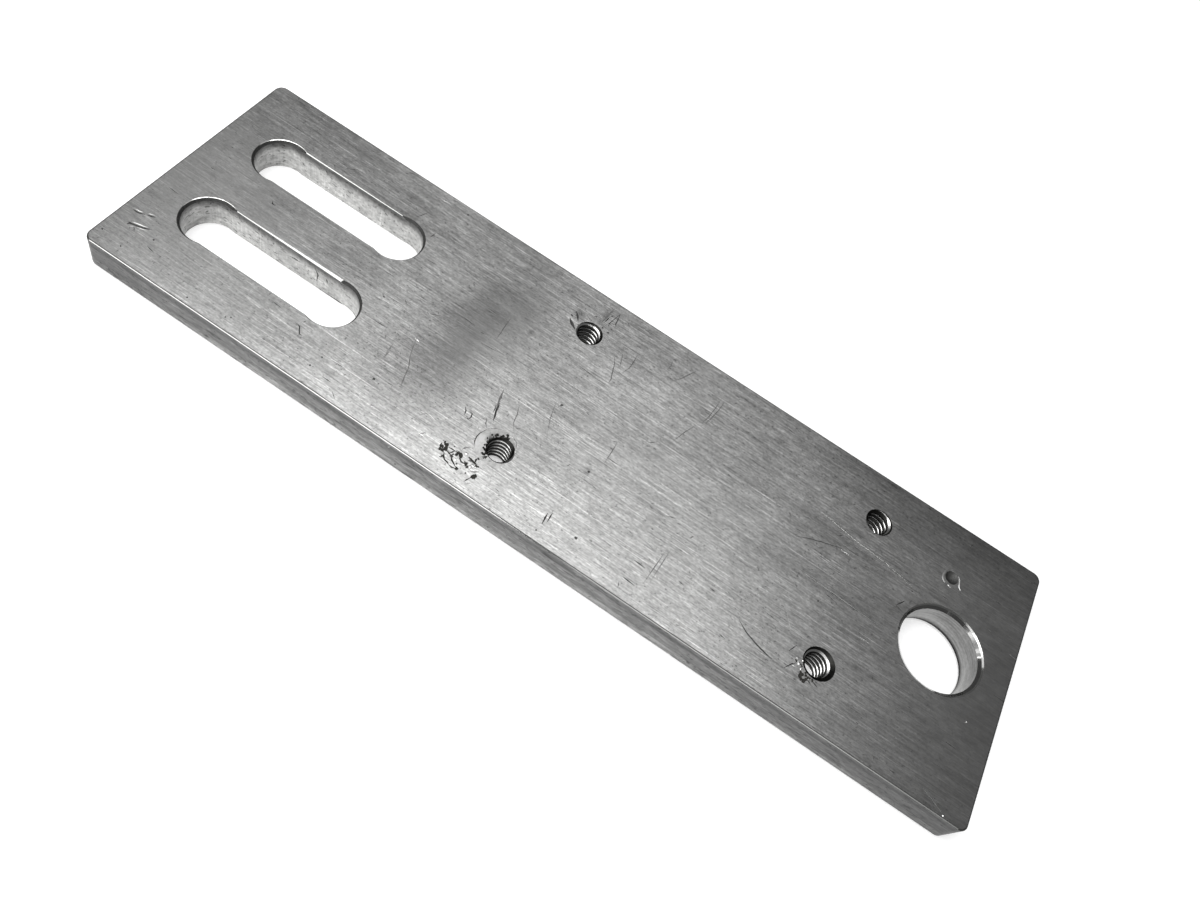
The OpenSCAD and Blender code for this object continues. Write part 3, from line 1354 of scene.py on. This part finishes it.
FACE_SCRATCHES: tuple[Mark, ...] = (
    Scratch(((-12.7, -4.5), (-12.4, -6.0), (-12.0, -7.4), (-11.6, -8.9)), 0.34, 0.05, Finish.SCUFFED),
    Scratch(((-11.9, -7.2), (-11.7, -7.9), (-11.5, -8.9), (-11.2, -9.7), (-10.9, -10.7)), 0.30, 0.06),
    Scratch(((-12.15, -7.9), (-11.9, -8.6), (-11.75, -9.5)), 0.18, 0.04),
    Scratch(((-12.35, -5.6), (-12.1, -6.7)), 0.20, 0.05),
    Scratch(((-12.0, -10.9), (-11.6, -11.9), (-10.9, -12.6)), 0.24, 0.05, Finish.SCUFFED),
    hairline((-9.1, -5.5), (-8.4, -7.1), (-8.1, -8.8), (-7.3, -10.1)),
    hairline((-29.7, -5.1), (-29.2, -6.8), (-28.4, -9.1), (-27.3, -11.1), (-26.5, -13.9), (-26.0, -15.5)),
    Scratch(((-31.9, -9.2), (-31.6, -11.0), (-31.4, -12.5)), 0.5, 0.04, Finish.SCUFFED),
    hairline((-1.2, 14.2), (-0.3, 12.7), (0.3, 10.8), (0.8, 9.3), (0.8, 8.3)),
    hairline((-1.1, 15.4), (-0.1, 15.4), (0.4, 13.9), (0.8, 12.6)),
    hairline((2.1, 17.3), (2.3, 15.2), (2.3, 13.6), (1.7, 11.6)),
    hairline((-4.1, 16.3), (-2.8, 15.4)),
    hairline((7.9, 20.2), (8.1, 19.0), (7.9, 17.9)),
    hairline((12.6, 21.6), (11.7, 19.8), (10.9, 18.0), (9.7, 16.2)),
    hairline((18.7, 19.1), (18.6, 16.3), (18.4, 14.0), (17.9, 12.0)),
    hairline((19.4, 19.1), (19.3, 16.6), (18.9, 14.1), (18.5, 12.4)),
    hairline((17.2, 10.9), (16.2, 8.3), (15.3, 5.3)),
    hairline((7.7, -0.7), (7.8, -2.9), (7.8, -5.7)),
    hairline((-4.5, -0.8), (-3.7, -4.1), (-2.4, -7.5)),
    hairline((-19.5, 9.0), (-19.4, 6.6), (-19.2, 4.5), (-19.1, 3.1)),
    hairline((-19.0, -20.6), (-18.5, -19.8), (-18.2, -19.2)),
    hairline((-20.9, -17.6), (-20.4, -16.8), (-19.5, -15.9)),
    Scratch(((4.8, -19.1), (5.0, -21.3)), 0.28, 0.07),
    Scratch(((5.4, -18.6), (5.5, -20.6)), 0.22, 0.06),
    Scratch(((-0.4, -13.7), (0.3, -14.1)), 0.2, 0.06, Finish.SCUFFED),
    Scratch(((20.0, -13.7), (22.2, -14.0)), 0.2, 0.05, Finish.SCUFFED),
    Scratch(((20.0, -17.5), (22.0, -17.6)), 0.24, 0.06),
    Scratch(((19.8, -21.0), (22.1, -21.2)), 0.24, 0.06),
    hairline((23.5, -13.0), (23.0, -20.1)),
    hairline((24.1, -11.9), (23.8, -19.1)),
    Scratch(((38.5, -15.9), (40.3, -17.0), (42.6, -17.8), (44.3, -18.2), (45.6, -18.4)), 0.24, 0.07),
    Scratch(((61.3, 4.4), (60.1, 2.7)), 0.24, 0.07),
    Scratch(((60.1, 2.7), (61.2, 2.4)), 0.24, 0.07),
    Scratch(((-64.9, 1.4), (-64.6, 0.9), (-63.9, 0.9)), 0.26, 0.07),
    hairline((-57.2, 20.0), (-55.9, 20.3), (-54.1, 19.6)),
    hairline((-52.3, 17.8), (-51.3, 17.0), (-49.8, 17.1)),
    Scratch(((-46.0, -16.0), (-45.3, -16.2), (-44.9, -16.8), (-44.4, -17.4), (-43.9, -17.4)), 0.22, 0.06),
    Scratch(((-45.4, -15.2), (-45.1, -14.8)), 0.2, 0.05),
    hairline((-23.0, 14.0), (-21.3, 11.7)),
    Scratch(((-15.9, -11.4), (-15.4, -12.0), (-15.2, -12.8)), 0.22, 0.05),
    Scratch(((-14.9, -11.7), (-14.3, -11.8), (-14.1, -12.5), (-14.3, -13.1), (-14.9, -12.7)), 0.20, 0.05),
    Scratch(((42.8, 10.3), (50.0, 9.2), (56.2, 8.7), (61.9, 7.5)), 0.08, 0.03, Finish.CHAMFER),
    hairline((43.8, -2.1), (51.0, -2.2), (59.0, -2.6)),
    Scratch(((40.9, 3.3), (43.2, 4.4), (45.3, 5.2), (49.0, 6.4)), 0.18, 0.04),
    Scratch(((73.5, -22.1), (77.3, -23.8)), 0.16, 0.05, Finish.CHAMFER),
    Scratch(((74.6, -22.0), (76.8, -23.0)), 0.12, 0.04, Finish.CHAMFER),
)

FACE_DOTS: tuple[Mark, ...] = tuple(Lump(place, radius, finish) for place, radius, finish in (
    ((-80.5, -21.6), 0.15, Finish.SOIL), ((-76.1, -22.3), 0.15, Finish.SCORED_AND_SHADE),
    ((-73.3, -18.0), 0.16, Finish.SCORED_AND_SHADE), ((-61.9, -23.2), 0.14, Finish.SCORED_AND_SHADE),
    ((-55.1, -22.3), 0.14, Finish.SCORED_AND_SHADE), ((-54.4, -21.8), 0.14, Finish.SOIL),
    ((-39.5, -21.0), 0.14, Finish.SOIL), ((-39.0, -18.6), 0.14, Finish.SCORED_AND_SHADE),
    ((-38.6, -2.4), 0.15, Finish.SCORED_AND_SHADE), ((-37.9, 22.7), 0.16, Finish.SCORED_AND_SHADE),
    ((-30.3, -16.6), 0.24, Finish.SCORED_AND_SHADE), ((-29.2, -16.9), 0.15, Finish.SCORED_AND_SHADE),
    ((-3.4, -0.8), 0.26, Finish.SCORED_AND_SHADE), ((6.5, -8.7), 0.22, Finish.SCORED_AND_SHADE),
    ((4.8, -22.7), 0.15, Finish.SOIL), ((10.6, -20.0), 0.26, Finish.SCORED_AND_SHADE),
    ((48.4, -5.0), 0.16, Finish.SOIL), ((61.8, 6.8), 0.16, Finish.SOIL),
    ((76.8, -8.5), 0.20, Finish.SMEARED), ((77.6, -24.2), 0.14, Finish.SMEARED),
))

# Round the left rear screw hole: strokes that a tool left, and specks
REAR_HOLE_MARKS: tuple[Mark, ...] = (
    Scratch(((-11.4, 15.6), (-10.5, 14.8), (-9.4, 14.1)), 0.62, 0.05),
    Scratch(((-11.7, 16.5), (-11.1, 16.2)), 0.40, 0.04),
    Scratch(((-11.2, 17.7), (-10.5, 16.9), (-9.9, 16.0)), 0.44, 0.05),
    Scratch(((-10.4, 18.4), (-9.9, 17.4)), 0.50, 0.05, Finish.SCUFFED),
    Scratch(((-9.3, 18.3), (-8.3, 17.8), (-7.4, 17.9)), 0.40, 0.04, Finish.SCUFFED),
    Scratch(((-6.4, 18.6), (-6.2, 20.9), (-6.0, 23.0)), 0.50, 0.05, Finish.SCUFFED),
    Scratch(((-6.0, 19.0), (-5.8, 21.0)), 0.20, 0.05),
    Scratch(((-4.9, 18.7), (-5.2, 19.3), (-4.6, 22.7)), 0.18, 0.05),
    Scratch(((-4.6, 22.7), (-4.2, 20.1), (-3.9, 19.6)), 0.22, 0.05),
    Scratch(((-5.2, 19.3), (-4.2, 20.1)), 0.18, 0.05),
    Lump((-5.7, 17.8), 0.18, Finish.SCORED_AND_SHADE), Lump((-4.4, 17.5), 0.22, Finish.SCORED_AND_SHADE),
    Lump((-7.8, 19.1), 0.15, Finish.SCORED_AND_SHADE), Lump((-5.5, 21.1), 0.15, Finish.SCORED_AND_SHADE),
)

# Round the left front screw hole: the outline of the print, its torn rim and the pitted ground beside it
FRONT_HOLE_MARKS: tuple[Mark, ...] = (
    Scratch(
        ((-9.9, -17.4), (-9.95, -16.9), (-10.6, -16.6), (-11.2, -15.8), (-11.4, -14.8), (-11.3, -14.0),
         (-10.9, -13.1), (-10.2, -12.1), (-9.6, -11.5)), 0.26, 0.08,
    ),
    Scratch(
        ((-9.0, -11.3), (-8.1, -11.1), (-6.5, -11.2), (-5.6, -11.7), (-5.2, -12.8)),
        0.18, 0.04, Finish.SCUFFED,
    ),
    Scratch(((-5.1, -13.2), (-4.9, -14.2), (-5.2, -14.9)), 0.18, 0.04, Finish.SCUFFED),
    Scratch(((-12.0, -18.4), (-11.9, -18.0), (-11.6, -17.5), (-10.9, -16.9)), 0.16, 0.04, Finish.SCUFFED),
    Scratch(((-9.1, -17.3), (-8.7, -17.3), (-8.3, -16.9), (-7.9, -16.5)), 0.44, 0.12, Finish.SOIL),
    *(Scratch(points, width, 0.08, Finish.SOIL) for points, width in (
        (((-14.9, -19.0), (-14.4, -19.2), (-14.1, -19.6), (-13.8, -20.2)), 0.50),
        (((-15.1, -20.0), (-14.5, -20.4), (-13.9, -20.5)), 0.42),
        (((-15.2, -19.2), (-15.1, -19.8), (-14.8, -20.4)), 0.30),
        (((-13.9, -20.5), (-13.7, -21.0), (-13.2, -21.5), (-12.6, -21.6), (-12.2, -21.8)), 0.28),
        (((-12.2, -21.8), (-11.6, -21.9), (-11.0, -21.7)), 0.26),
        (((-12.7, -20.4), (-12.3, -20.8), (-11.8, -21.1), (-11.1, -21.5)), 0.30),
        (((-13.9, -19.9), (-13.3, -20.1), (-12.6, -20.3)), 0.32),
        (((-14.0, -19.3), (-13.3, -19.2), (-12.5, -19.2)), 0.24),
        (((-12.7, -19.1), (-12.95, -19.6), (-13.2, -20.0)), 0.28),
        (((-12.6, -19.0), (-12.2, -19.3), (-11.6, -19.1)), 0.36),
        (((-11.6, -19.4), (-11.4, -19.8), (-10.9, -20.2), (-10.2, -20.1), (-10.0, -19.6)), 0.28),
        (((-10.2, -19.3), (-9.6, -19.0), (-9.0, -19.0), (-8.4, -19.3)), 0.32),
        (((-9.6, -20.0), (-9.1, -19.7), (-8.7, -19.5)), 0.24),
        (((-9.4, -18.4), (-9.0, -18.0), (-8.6, -17.7)), 0.28),
        (((-9.2, -18.9), (-9.3, -18.4), (-8.9, -17.8)), 0.24),
        (((-8.9, -20.8), (-8.2, -20.3), (-7.7, -19.9)), 0.22),
        (((-8.3, -21.7), (-7.9, -21.2), (-7.6, -20.7)), 0.40),
        (((-8.7, -22.8), (-8.5, -22.2), (-8.2, -21.6)), 0.22),
        (((-7.9, -17.6), (-7.4, -17.2), (-6.9, -16.9)), 0.26),
        (((-9.0, -17.4), (-8.5, -17.2), (-8.0, -16.7)), 0.50),
    )),
    *clots((
        ((-14.3, -19.5), 0.50), ((-13.9, -21.3), 0.26), ((-14.7, -20.3), 0.36), ((-12.7, -20.3), 0.26),
        ((-14.9, -19.0), 0.30), ((-11.9, -19.2), 0.46), ((-10.1, -19.9), 0.32), ((-10.0, -18.9), 0.32),
        ((-9.3, -19.0), 0.36), ((-10.8, -21.5), 0.36), ((-7.9, -21.2), 0.42), ((-8.5, -19.4), 0.24),
        ((-9.6, -20.4), 0.22), ((-9.0, -18.0), 0.24), ((-8.4, -17.2), 0.34),
    ), 0),
    *(Lump(place, radius, Finish.SCORED_AND_SHADE) for place, radius in (
        ((-12.6, -21.6), 0.16), ((-13.2, -18.6), 0.16), ((-11.3, -20.9), 0.16), ((-9.3, -21.4), 0.16),
        ((-10.3, -13.5), 0.18), ((-5.3, -13.6), 0.20),
    )),
    *TornRim((-7.1, -14.5)).crumbs(),
    *beads(
        0.20, ((-13.3, -20.7), 0.20), ((-11.9, -20.4), 0.24), ((-9.1, -19.6), 0.22), ((-8.9, -20.2), 0.24),
        ((-11.0, -18.4), 0.24),
    ),
)

# Round the right front screw hole: crumbs of soil and metal, and short strokes
RIGHT_HOLE_MARKS: tuple[Mark, ...] = (
    *clots((
        ((50.6, -17.7), 0.42), ((50.8, -18.5), 0.46), ((51.5, -17.7), 0.32), ((51.6, -18.3), 0.34),
        ((52.4, -17.6), 0.28), ((49.1, -16.2), 0.18), ((50.1, -16.6), 0.20),
    ), 70),
    *beads(
        0.3, ((49.1, -15.8), 0.20), ((49.6, -16.4), 0.24), ((50.3, -17.0), 0.16), ((49.0, -17.2), 0.18),
        ((51.9, -17.8), 0.16), ((50.0, -15.6), 0.14),
    ),
    Scratch(((51.6, -17.8), (52.1, -18.1), (52.5, -18.3)), 0.30, 0.06),
    Scratch(((52.9, -17.4), (53.4, -17.6)), 0.18, 0.05),
    Scratch(((52.6, -17.7), (53.1, -17.9), (53.6, -18.1)), 0.20, 0.05),
    Scratch(((47.8, -18.5), (48.6, -17.2), (49.2, -16.6)), 0.22, 0.05),
    Scratch(((47.4, -15.6), (48.2, -13.9)), 0.2, 0.05),
)

# The burr that the drill threw up round its spot
SPOT_BURRS: tuple[Mark, ...] = (
    burr(
        (66.4, 12.0), (65.9, 12.6), (65.75, 13.4), (65.9, 14.3), (66.3, 15.0), (67.0, 15.3),
        width=0.46, height=0.055,
    ),
    burr((68.2, 14.8), (68.6, 14.2), (68.8, 13.5), (68.9, 12.9), (69.3, 12.4), width=0.38, height=0.055),
    burr((66.9, 12.0), (67.4, 11.9), (67.9, 12.0), width=0.24, height=0.04),
)

# Along and up the near long side
SIDE_SCUFFS: tuple[Mark, ...] = (
    Scratch(((-5.2, 3.5), (-4.2, 3.3)), 0.2, 0.09), Scratch(((-2.9, 3.3), (-1.9, 3.1)), 0.2, 0.09),
    Scratch(((0.2, 4.6), (0.8, 4.2)), 0.2, 0.09), Scratch(((-0.9, 2.2), (-0.3, 1.9)), 0.2, 0.12),
    Scratch(((4.2, 1.5), (4.9, 1.3)), 0.18, 0.08), Scratch(((-7.7, 1.2), (-7.6, 5.0)), 0.12, 0.08),
)

# Along and up the far wall of the near slot
SLOT_WALL_SCUFFS: tuple[Mark, ...] = (
    Scratch(((-51.3, 5.1), (-50.6, 3.8), (-50.8, 1.9)), 0.34, 0.08),
    Scratch(((-49.0, 4.3), (-48.7, 3.8), (-48.6, 3.2)), 0.30, 0.07),
    Scratch(((-56.6, 3.8), (-55.4, 4.0), (-54.3, 4.0)), 0.28, 0.06),
    Scratch(((-50.0, 0.25), (-46.0, 0.3), (-42.9, 0.25)), 0.26, 0.06, Finish.SOIL),
    Scratch(((-60.2, 2.0), (-58.8, 2.3)), 0.2, 0.05), Scratch(((-64.0, 4.4), (-62.9, 4.2)), 0.2, 0.05),
)


@dataclass
class Scars:
    """The marks that making and use have left on one surface."""

    surface: Surface
    marks: tuple[Mark, ...]
    seed: int = 11

    def cut(self, work: Workpiece) -> None:
        """Marks the bar, in passes whose marks keep clear of each other.

        Args:
            work: The bar.
        """
        rng = random.Random(self.seed)
        for raised, step in ((False, Work.CUT), (True, Work.RAISE)):
            passes: list[list[Mark]] = []
            for mark in self.marks:
                if mark.raised != raised:
                    continue
                free = next((done for done in passes if not any(map(mark.meets, done))), None)
                if free is None:
                    passes.append([mark])
                else:
                    free.append(mark)
            for index, marks in enumerate(passes):
                tool = bmesh.new()
                for mark in marks:
                    mark.shape(tool, self.surface, rng)
                work.machine(f"{self.surface.name} {step.name.lower()}, pass {index + 1}", tool, step)


@dataclass
class SeatingPrint:
    """The shallow round print of what was once screwed down, deeper on its left."""

    centre: Vector
    radius: float = 3.45
    depth: float = 0.05
    tilt: float = -1.1

    def cut(self, work: Workpiece) -> None:
        """Presses the print into the top face.

        Args:
            work: The bar.
        """
        tool = drill(Vector((0, 0, 0)), (-self.depth, self.radius), (OVERRUN, self.radius), Finish.SMEARED)
        turned = Matrix.Translation(self.centre) @ Matrix.Rotation(math.radians(self.tilt), 4, "Y")
        bmesh.ops.transform(tool, matrix=turned, verts=tool.verts[:])
        work.machine("seating print", tool)


@dataclass(frozen=True)
class SoftBox:
    """A flat soft lamp that faces the bar; its azimuth runs from +Y towards +X."""

    name: str
    azimuth: float
    elevation: float
    watts: float
    size: tuple[float, float] = (300, 160)
    reach: float = 450.0

    def build(self) -> bpy.types.Object:
        """Puts the lamp in the scene.

        Returns:
            The lamp.
        """
        light = bpy.data.lights.new(self.name, "AREA")
        light.shape = "RECTANGLE"
        light.size, light.size_y = (MM * side for side in self.size)
        light.energy = self.watts
        lamp = bpy.data.objects.new(self.name, light)
        azimuth, elevation = math.radians(self.azimuth), math.radians(self.elevation)
        level = math.cos(elevation)
        towards = Vector((math.sin(azimuth) * level, math.cos(azimuth) * level, math.sin(elevation)))
        lamp.location = towards * self.reach * MM
        lamp.rotation_euler = (-towards).to_track_quat("-Z", "Y").to_euler()
        lamp.visible_camera = False
        bpy.context.scene.collection.objects.link(lamp)
        return lamp


@dataclass
class Studio:
    """A pale floor, soft lamps, a plain world and the photograph's camera."""

    paper_colour: float = 0.80
    # Glow of the floor near the bar and far from it, where the lamps no longer reach
    near_glow: float = 0.45
    far_glow: float = 1.0
    glow_reach: tuple[float, float] = (0.12, 0.55)
    floor_reach: float = 3000.0
    # How far below the bar the floor lies, so that the two don't share a plane
    floor_drop: float = 0.02
    floor_sides: int = 64
    world_level: float = 0.11
    lamps: tuple[SoftBox, ...] = (
        SoftBox("zenith_box", 0, 90, 0.78),
        SoftBox("left_high_box", 240, 70, 0.55),
        SoftBox("left_box", 270, 52, 0.13),
        SoftBox("back_high_box", 0, 70, 0.085),
        SoftBox("front_window", 214, 31, 0.66, (470, 230)),
        SoftBox("front_high_box", 162, 61, 0.078, (250, 100)),
        SoftBox("right_high_box", 122, 53, 0.022, (190, 100)),
        SoftBox("front_right_box", 158, 25, 0.06, (280, 90)),
        SoftBox("camera_left_box", 226, 54, 0.20, (340, 120)),
        SoftBox("left_strip", 266, 36, 0.03, (24, 110)),
    )
    camera_place: tuple[float, float, float] = (7.772, -88.508, 137.145)
    camera_turn: tuple[float, float, float] = (29.5032, -13.6977, 31.3656)
    camera_lens: float = 28.3815
    camera_shift: tuple[float, float] = (0.05231, -0.02013)
    sensor_width: float = 36.0
    clip_start: float = 5.0

    def build(self) -> None:
        """Builds the studio and its camera."""
        self._camera()
        self._floor()
        self._world()
        for lamp in self.lamps:
            lamp.build()
            log.info("lamp %s: %.2f W", lamp.name, lamp.watts)

    def _camera(self) -> None:
        """Stands the camera where the photograph was taken."""
        lens = bpy.data.cameras.new("camera")
        lens.sensor_width = self.sensor_width
        lens.lens = self.camera_lens
        lens.shift_x, lens.shift_y = self.camera_shift
        lens.clip_start = self.clip_start * MM
        camera = bpy.data.objects.new("camera", lens)
        camera.location = [MM * value for value in self.camera_place]
        camera.rotation_euler = Euler([math.radians(angle) for angle in self.camera_turn])
        bpy.context.scene.collection.objects.link(camera)
        bpy.context.scene.camera = camera

    def _floor(self) -> None:
        """Lays white paper under the bar, which still takes its shadow."""
        shape = bmesh.new()
        reach = self.floor_reach * MM
        bmesh.ops.create_circle(shape, cap_ends=True, segments=self.floor_sides, radius=reach)
        mesh = bpy.data.meshes.new("floor")
        shape.to_mesh(mesh)
        shape.free()
        paper = bpy.data.objects.new("floor", mesh)
        paper.location.z = -self.floor_drop * MM
        bpy.context.scene.collection.objects.link(paper)
        mesh.materials.append(self._paper())

    def _paper(self) -> bpy.types.Material:
        """Makes white paper, which glows only where the camera, a mirror image or glass shows it.

        Returns:
            The material.
        """
        material = bpy.data.materials.new("white_paper")
        material.use_nodes = True
        sheet = NodeSheet(material)
        rays = sheet.add("ShaderNodeLightPath").outputs
        seen = sheet.math("MAXIMUM", rays["Is Camera Ray"], rays["Is Glossy Ray"])
        seen = sheet.math("MAXIMUM", seen, rays["Is Transmission Ray"])
        distance = sheet.add("ShaderNodeVectorMath", operation="LENGTH")
        sheet.join(sheet.place, distance.inputs[0])
        spread = sheet.add("ShaderNodeMapRange", interpolation_type="SMOOTHSTEP")
        sheet.join(distance.outputs["Value"], spread.inputs["Value"])
        spread.inputs["From Min"].default_value = self.glow_reach[0]
        spread.inputs["From Max"].default_value = self.glow_reach[1]
        spread.inputs["To Min"].default_value = self.near_glow
        spread.inputs["To Max"].default_value = self.far_glow
        card = sheet.add("ShaderNodeBsdfDiffuse")
        card.inputs["Color"].default_value = (self.paper_colour,) * 3 + (1.0,)
        glow = sheet.add("ShaderNodeEmission")
        sheet.join(sheet.math("MULTIPLY", seen, spread.outputs[0]), glow.inputs["Strength"])
        both = sheet.add("ShaderNodeAddShader")
        sheet.join(card.outputs[0], both.inputs[0])
        sheet.join(glow.outputs[0], both.inputs[1])
        output = sheet.add("ShaderNodeOutputMaterial")
        sheet.join(both.outputs[0], output.inputs["Surface"])
        return material

    def _world(self) -> None:
        """Sets a plain grey world and the plain view of it."""
        world = bpy.data.worlds.new("world")
        world.use_nodes = True
        world.node_tree.nodes["Background"].inputs["Color"].default_value = (1, 1, 1, 1)
        world.node_tree.nodes["Background"].inputs["Strength"].default_value = self.world_level
        bpy.context.scene.world = world
        bpy.context.scene.view_settings.view_transform = "Standard"


@dataclass(frozen=True)
class Tap:
    """How one of the switch holes was tapped: its corner of the pattern, its thread and its countersink."""

    corner: tuple[int, int]
    start_angle: float
    countersink_r: float
    countersink_shift: tuple[float, float] = (0.0, 0.0)


@dataclass
class MountingPlate:
    """The whole plate, with its sizes from the frame's box and mounts."""

    # Width of the far top edge's chamfer at the left and right end of each slot
    near_slot_chamfer: tuple[float, float] = (0.05, 0.38)
    far_slot_chamfer: tuple[float, float] = (0.15, 0.06)
    # Place of the drill spot from the bore's axis
    spot_offset: tuple[float, float] = (-2.2, 13.4)
    print_centre: tuple[float, float] = (-7.9, -14.6)
    taps: tuple[Tap, ...] = (
        Tap((-1, 1), 250, 2.45, (0.12, 0.0)), Tap((-1, -1), 40, 2.42),
        Tap((1, 1), 130, 2.45, (0.1, 0.05)), Tap((1, -1), 300, 2.75, (0.15, 0.0)),
    )
    # How far the fine nicks keep off an opening's edge, the bar's ends and long edges, and a side's edges
    opening_room: float = 1.1
    end_room: float = 1.5
    edge_room: float = 0.6
    side_room: float = 0.7
    top_nicks: Nicks = Nicks(110, 3)
    under_nicks: Nicks = Nicks(60, 5)
    near_nicks: Nicks = Nicks(36, 7)
    far_nicks: Nicks = Nicks(36, 9)

    def build(self) -> bpy.types.Object:
        """Machines the bar and dresses it.

        Returns:
            The finished piece.
        """
        low, high = (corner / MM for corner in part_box(NODE))
        thickness = high.z
        work = Workpiece(PIECE, DrawnBar(high.x - low.x, high.y - low.y, thickness).build())
        mounts = {mount["name"]: mount for mount in frame["record"]["mounts"]}
        for name, chamfer in (("slot_near", self.near_slot_chamfer), ("slot_far", self.far_slot_chamfer)):
            AdjustingSlot(self._place(mounts[name]), thickness, chamfer).cut(work)
        SeatingPrint(Vector((*self.print_centre, thickness))).cut(work)
        bore = self._place(mounts["bore"])
        ChamferedBore(bore, mounts["bore"]["dims"]["r_mm"], thickness).cut(work)
        self._tap_holes(work, mounts["switch_holes"], thickness)
        DrillSpot(bore + Vector((*self.spot_offset, 0)), thickness).cut(work)
        self._mark(work, high, mounts)
        piece = work.finish()
        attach(piece, "root")
        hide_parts(NODE)
        return piece

    def _openings(self, mounts: dict[str, dict], side: int) -> list[Opening]:
        """Lists the openings as seen in one of the wide faces.

        Args:
            mounts: The record's mounts by name.
            side: 1 for the top face, -1 for the underside, whose own axis across runs the other way.

        Returns:
            The openings.
        """
        places = {name: self._place(mount) for name, mount in mounts.items()}
        dims = mounts["switch_holes"]["dims"]
        half_x, half_y = dims["spacing_x_mm"] / 2, dims["spacing_y_mm"] / 2
        centre, bore = places["switch_holes"], places["bore"]
        openings = [Opening((bore.x, side * bore.y), mounts["bore"]["dims"]["r_mm"] + self.opening_room)]
        slot_room, half_travel = AdjustingSlot.width / 2 + self.opening_room, AdjustingSlot.travel / 2
        for name in ("slot_near", "slot_far"):
            slot = places[name]
            openings.append(Opening((slot.x, side * slot.y), slot_room, half_travel))
        for along in (-half_x, half_x):
            for across in (-half_y, half_y):
                place = (centre.x + along, side * (centre.y + across))
                openings.append(Opening(place, dims["hole_r_mm"] + self.opening_room))
        return openings

    def _mark(self, work: Workpiece, high: Vector, mounts: dict[str, dict]) -> None:
        """Marks every surface as use has marked it.

        Args:
            work: The bar.
            high: Highest corner of the bar.
            mounts: The record's mounts by name.
        """
        wall_y = self._place(mounts["slot_near"]).y + AdjustingSlot.width / 2
        along, across = Vector((1, 0, 0)), Vector((0, 1, 0))
        near = -across
        top = Surface("top", Vector((0, 0, high.z)), along, across, UP)
        underside = Surface("underside", Vector((0, 0, 0)), along, near, -UP)
        wall = Surface("slot wall", across * wall_y, along, UP, near)
        near_side = Surface("near side", near * high.y, along, UP, near)
        far_side = Surface("far side", across * high.y, -along, UP, across)
        reach_x, reach_y = high.x - self.end_room, high.y - self.edge_room
        face_ground = (-reach_x, -reach_y), (reach_x, reach_y)
        side_ground = (-reach_x, self.side_room), (reach_x, high.z - self.side_room)
        Scars(top, (
            *CORNER_GOUGES, *FACE_SCRATCHES, *FACE_DOTS, *REAR_HOLE_MARKS, *FRONT_HOLE_MARKS,
            *RIGHT_HOLE_MARKS, *SPOT_BURRS,
            *self.top_nicks.scatter(*face_ground, self._openings(mounts, 1)),
        )).cut(work)
        Scars(underside, self.under_nicks.scatter(*face_ground, self._openings(mounts, -1))).cut(work)
        Scars(near_side, (*SIDE_SCUFFS, *self.near_nicks.scatter(*side_ground))).cut(work)
        Scars(far_side, self.far_nicks.scatter(*side_ground)).cut(work)
        Scars(wall, SLOT_WALL_SCUFFS).cut(work)

    def _place(self, mount: dict) -> Vector:
        """Returns a mount's place in millimetres."""
        return Vector(mount["pos_m"]) / MM

    def _tap_holes(self, work: Workpiece, pattern: dict, thickness: float) -> None:
        """Taps the four switch holes.

        Args:
            work: The bar.
            pattern: The bolt pattern's mount.
            thickness: Thickness of the bar.
        """
        centre, dims = self._place(pattern), pattern["dims"]
        for tap in self.taps:
            along, across = tap.corner
            offset = Vector((along * dims["spacing_x_mm"], across * dims["spacing_y_mm"], 0)) / 2
            TappedHole(
                centre + offset, thickness, dims["hole_r_mm"], tap.start_angle, tap.countersink_r,
                tap.countersink_shift,
            ).cut(work)


def main() -> None:
    """Builds the studio and the plate, and reports each piece."""
    logging.basicConfig(level=logging.INFO, format="%(name)s %(message)s")
    Studio().build()
    piece = MountingPlate().build()
    log.info("piece %s: %d faces", piece.name, len(piece.data.polygons))


if __name__ == "__main__":
    main()
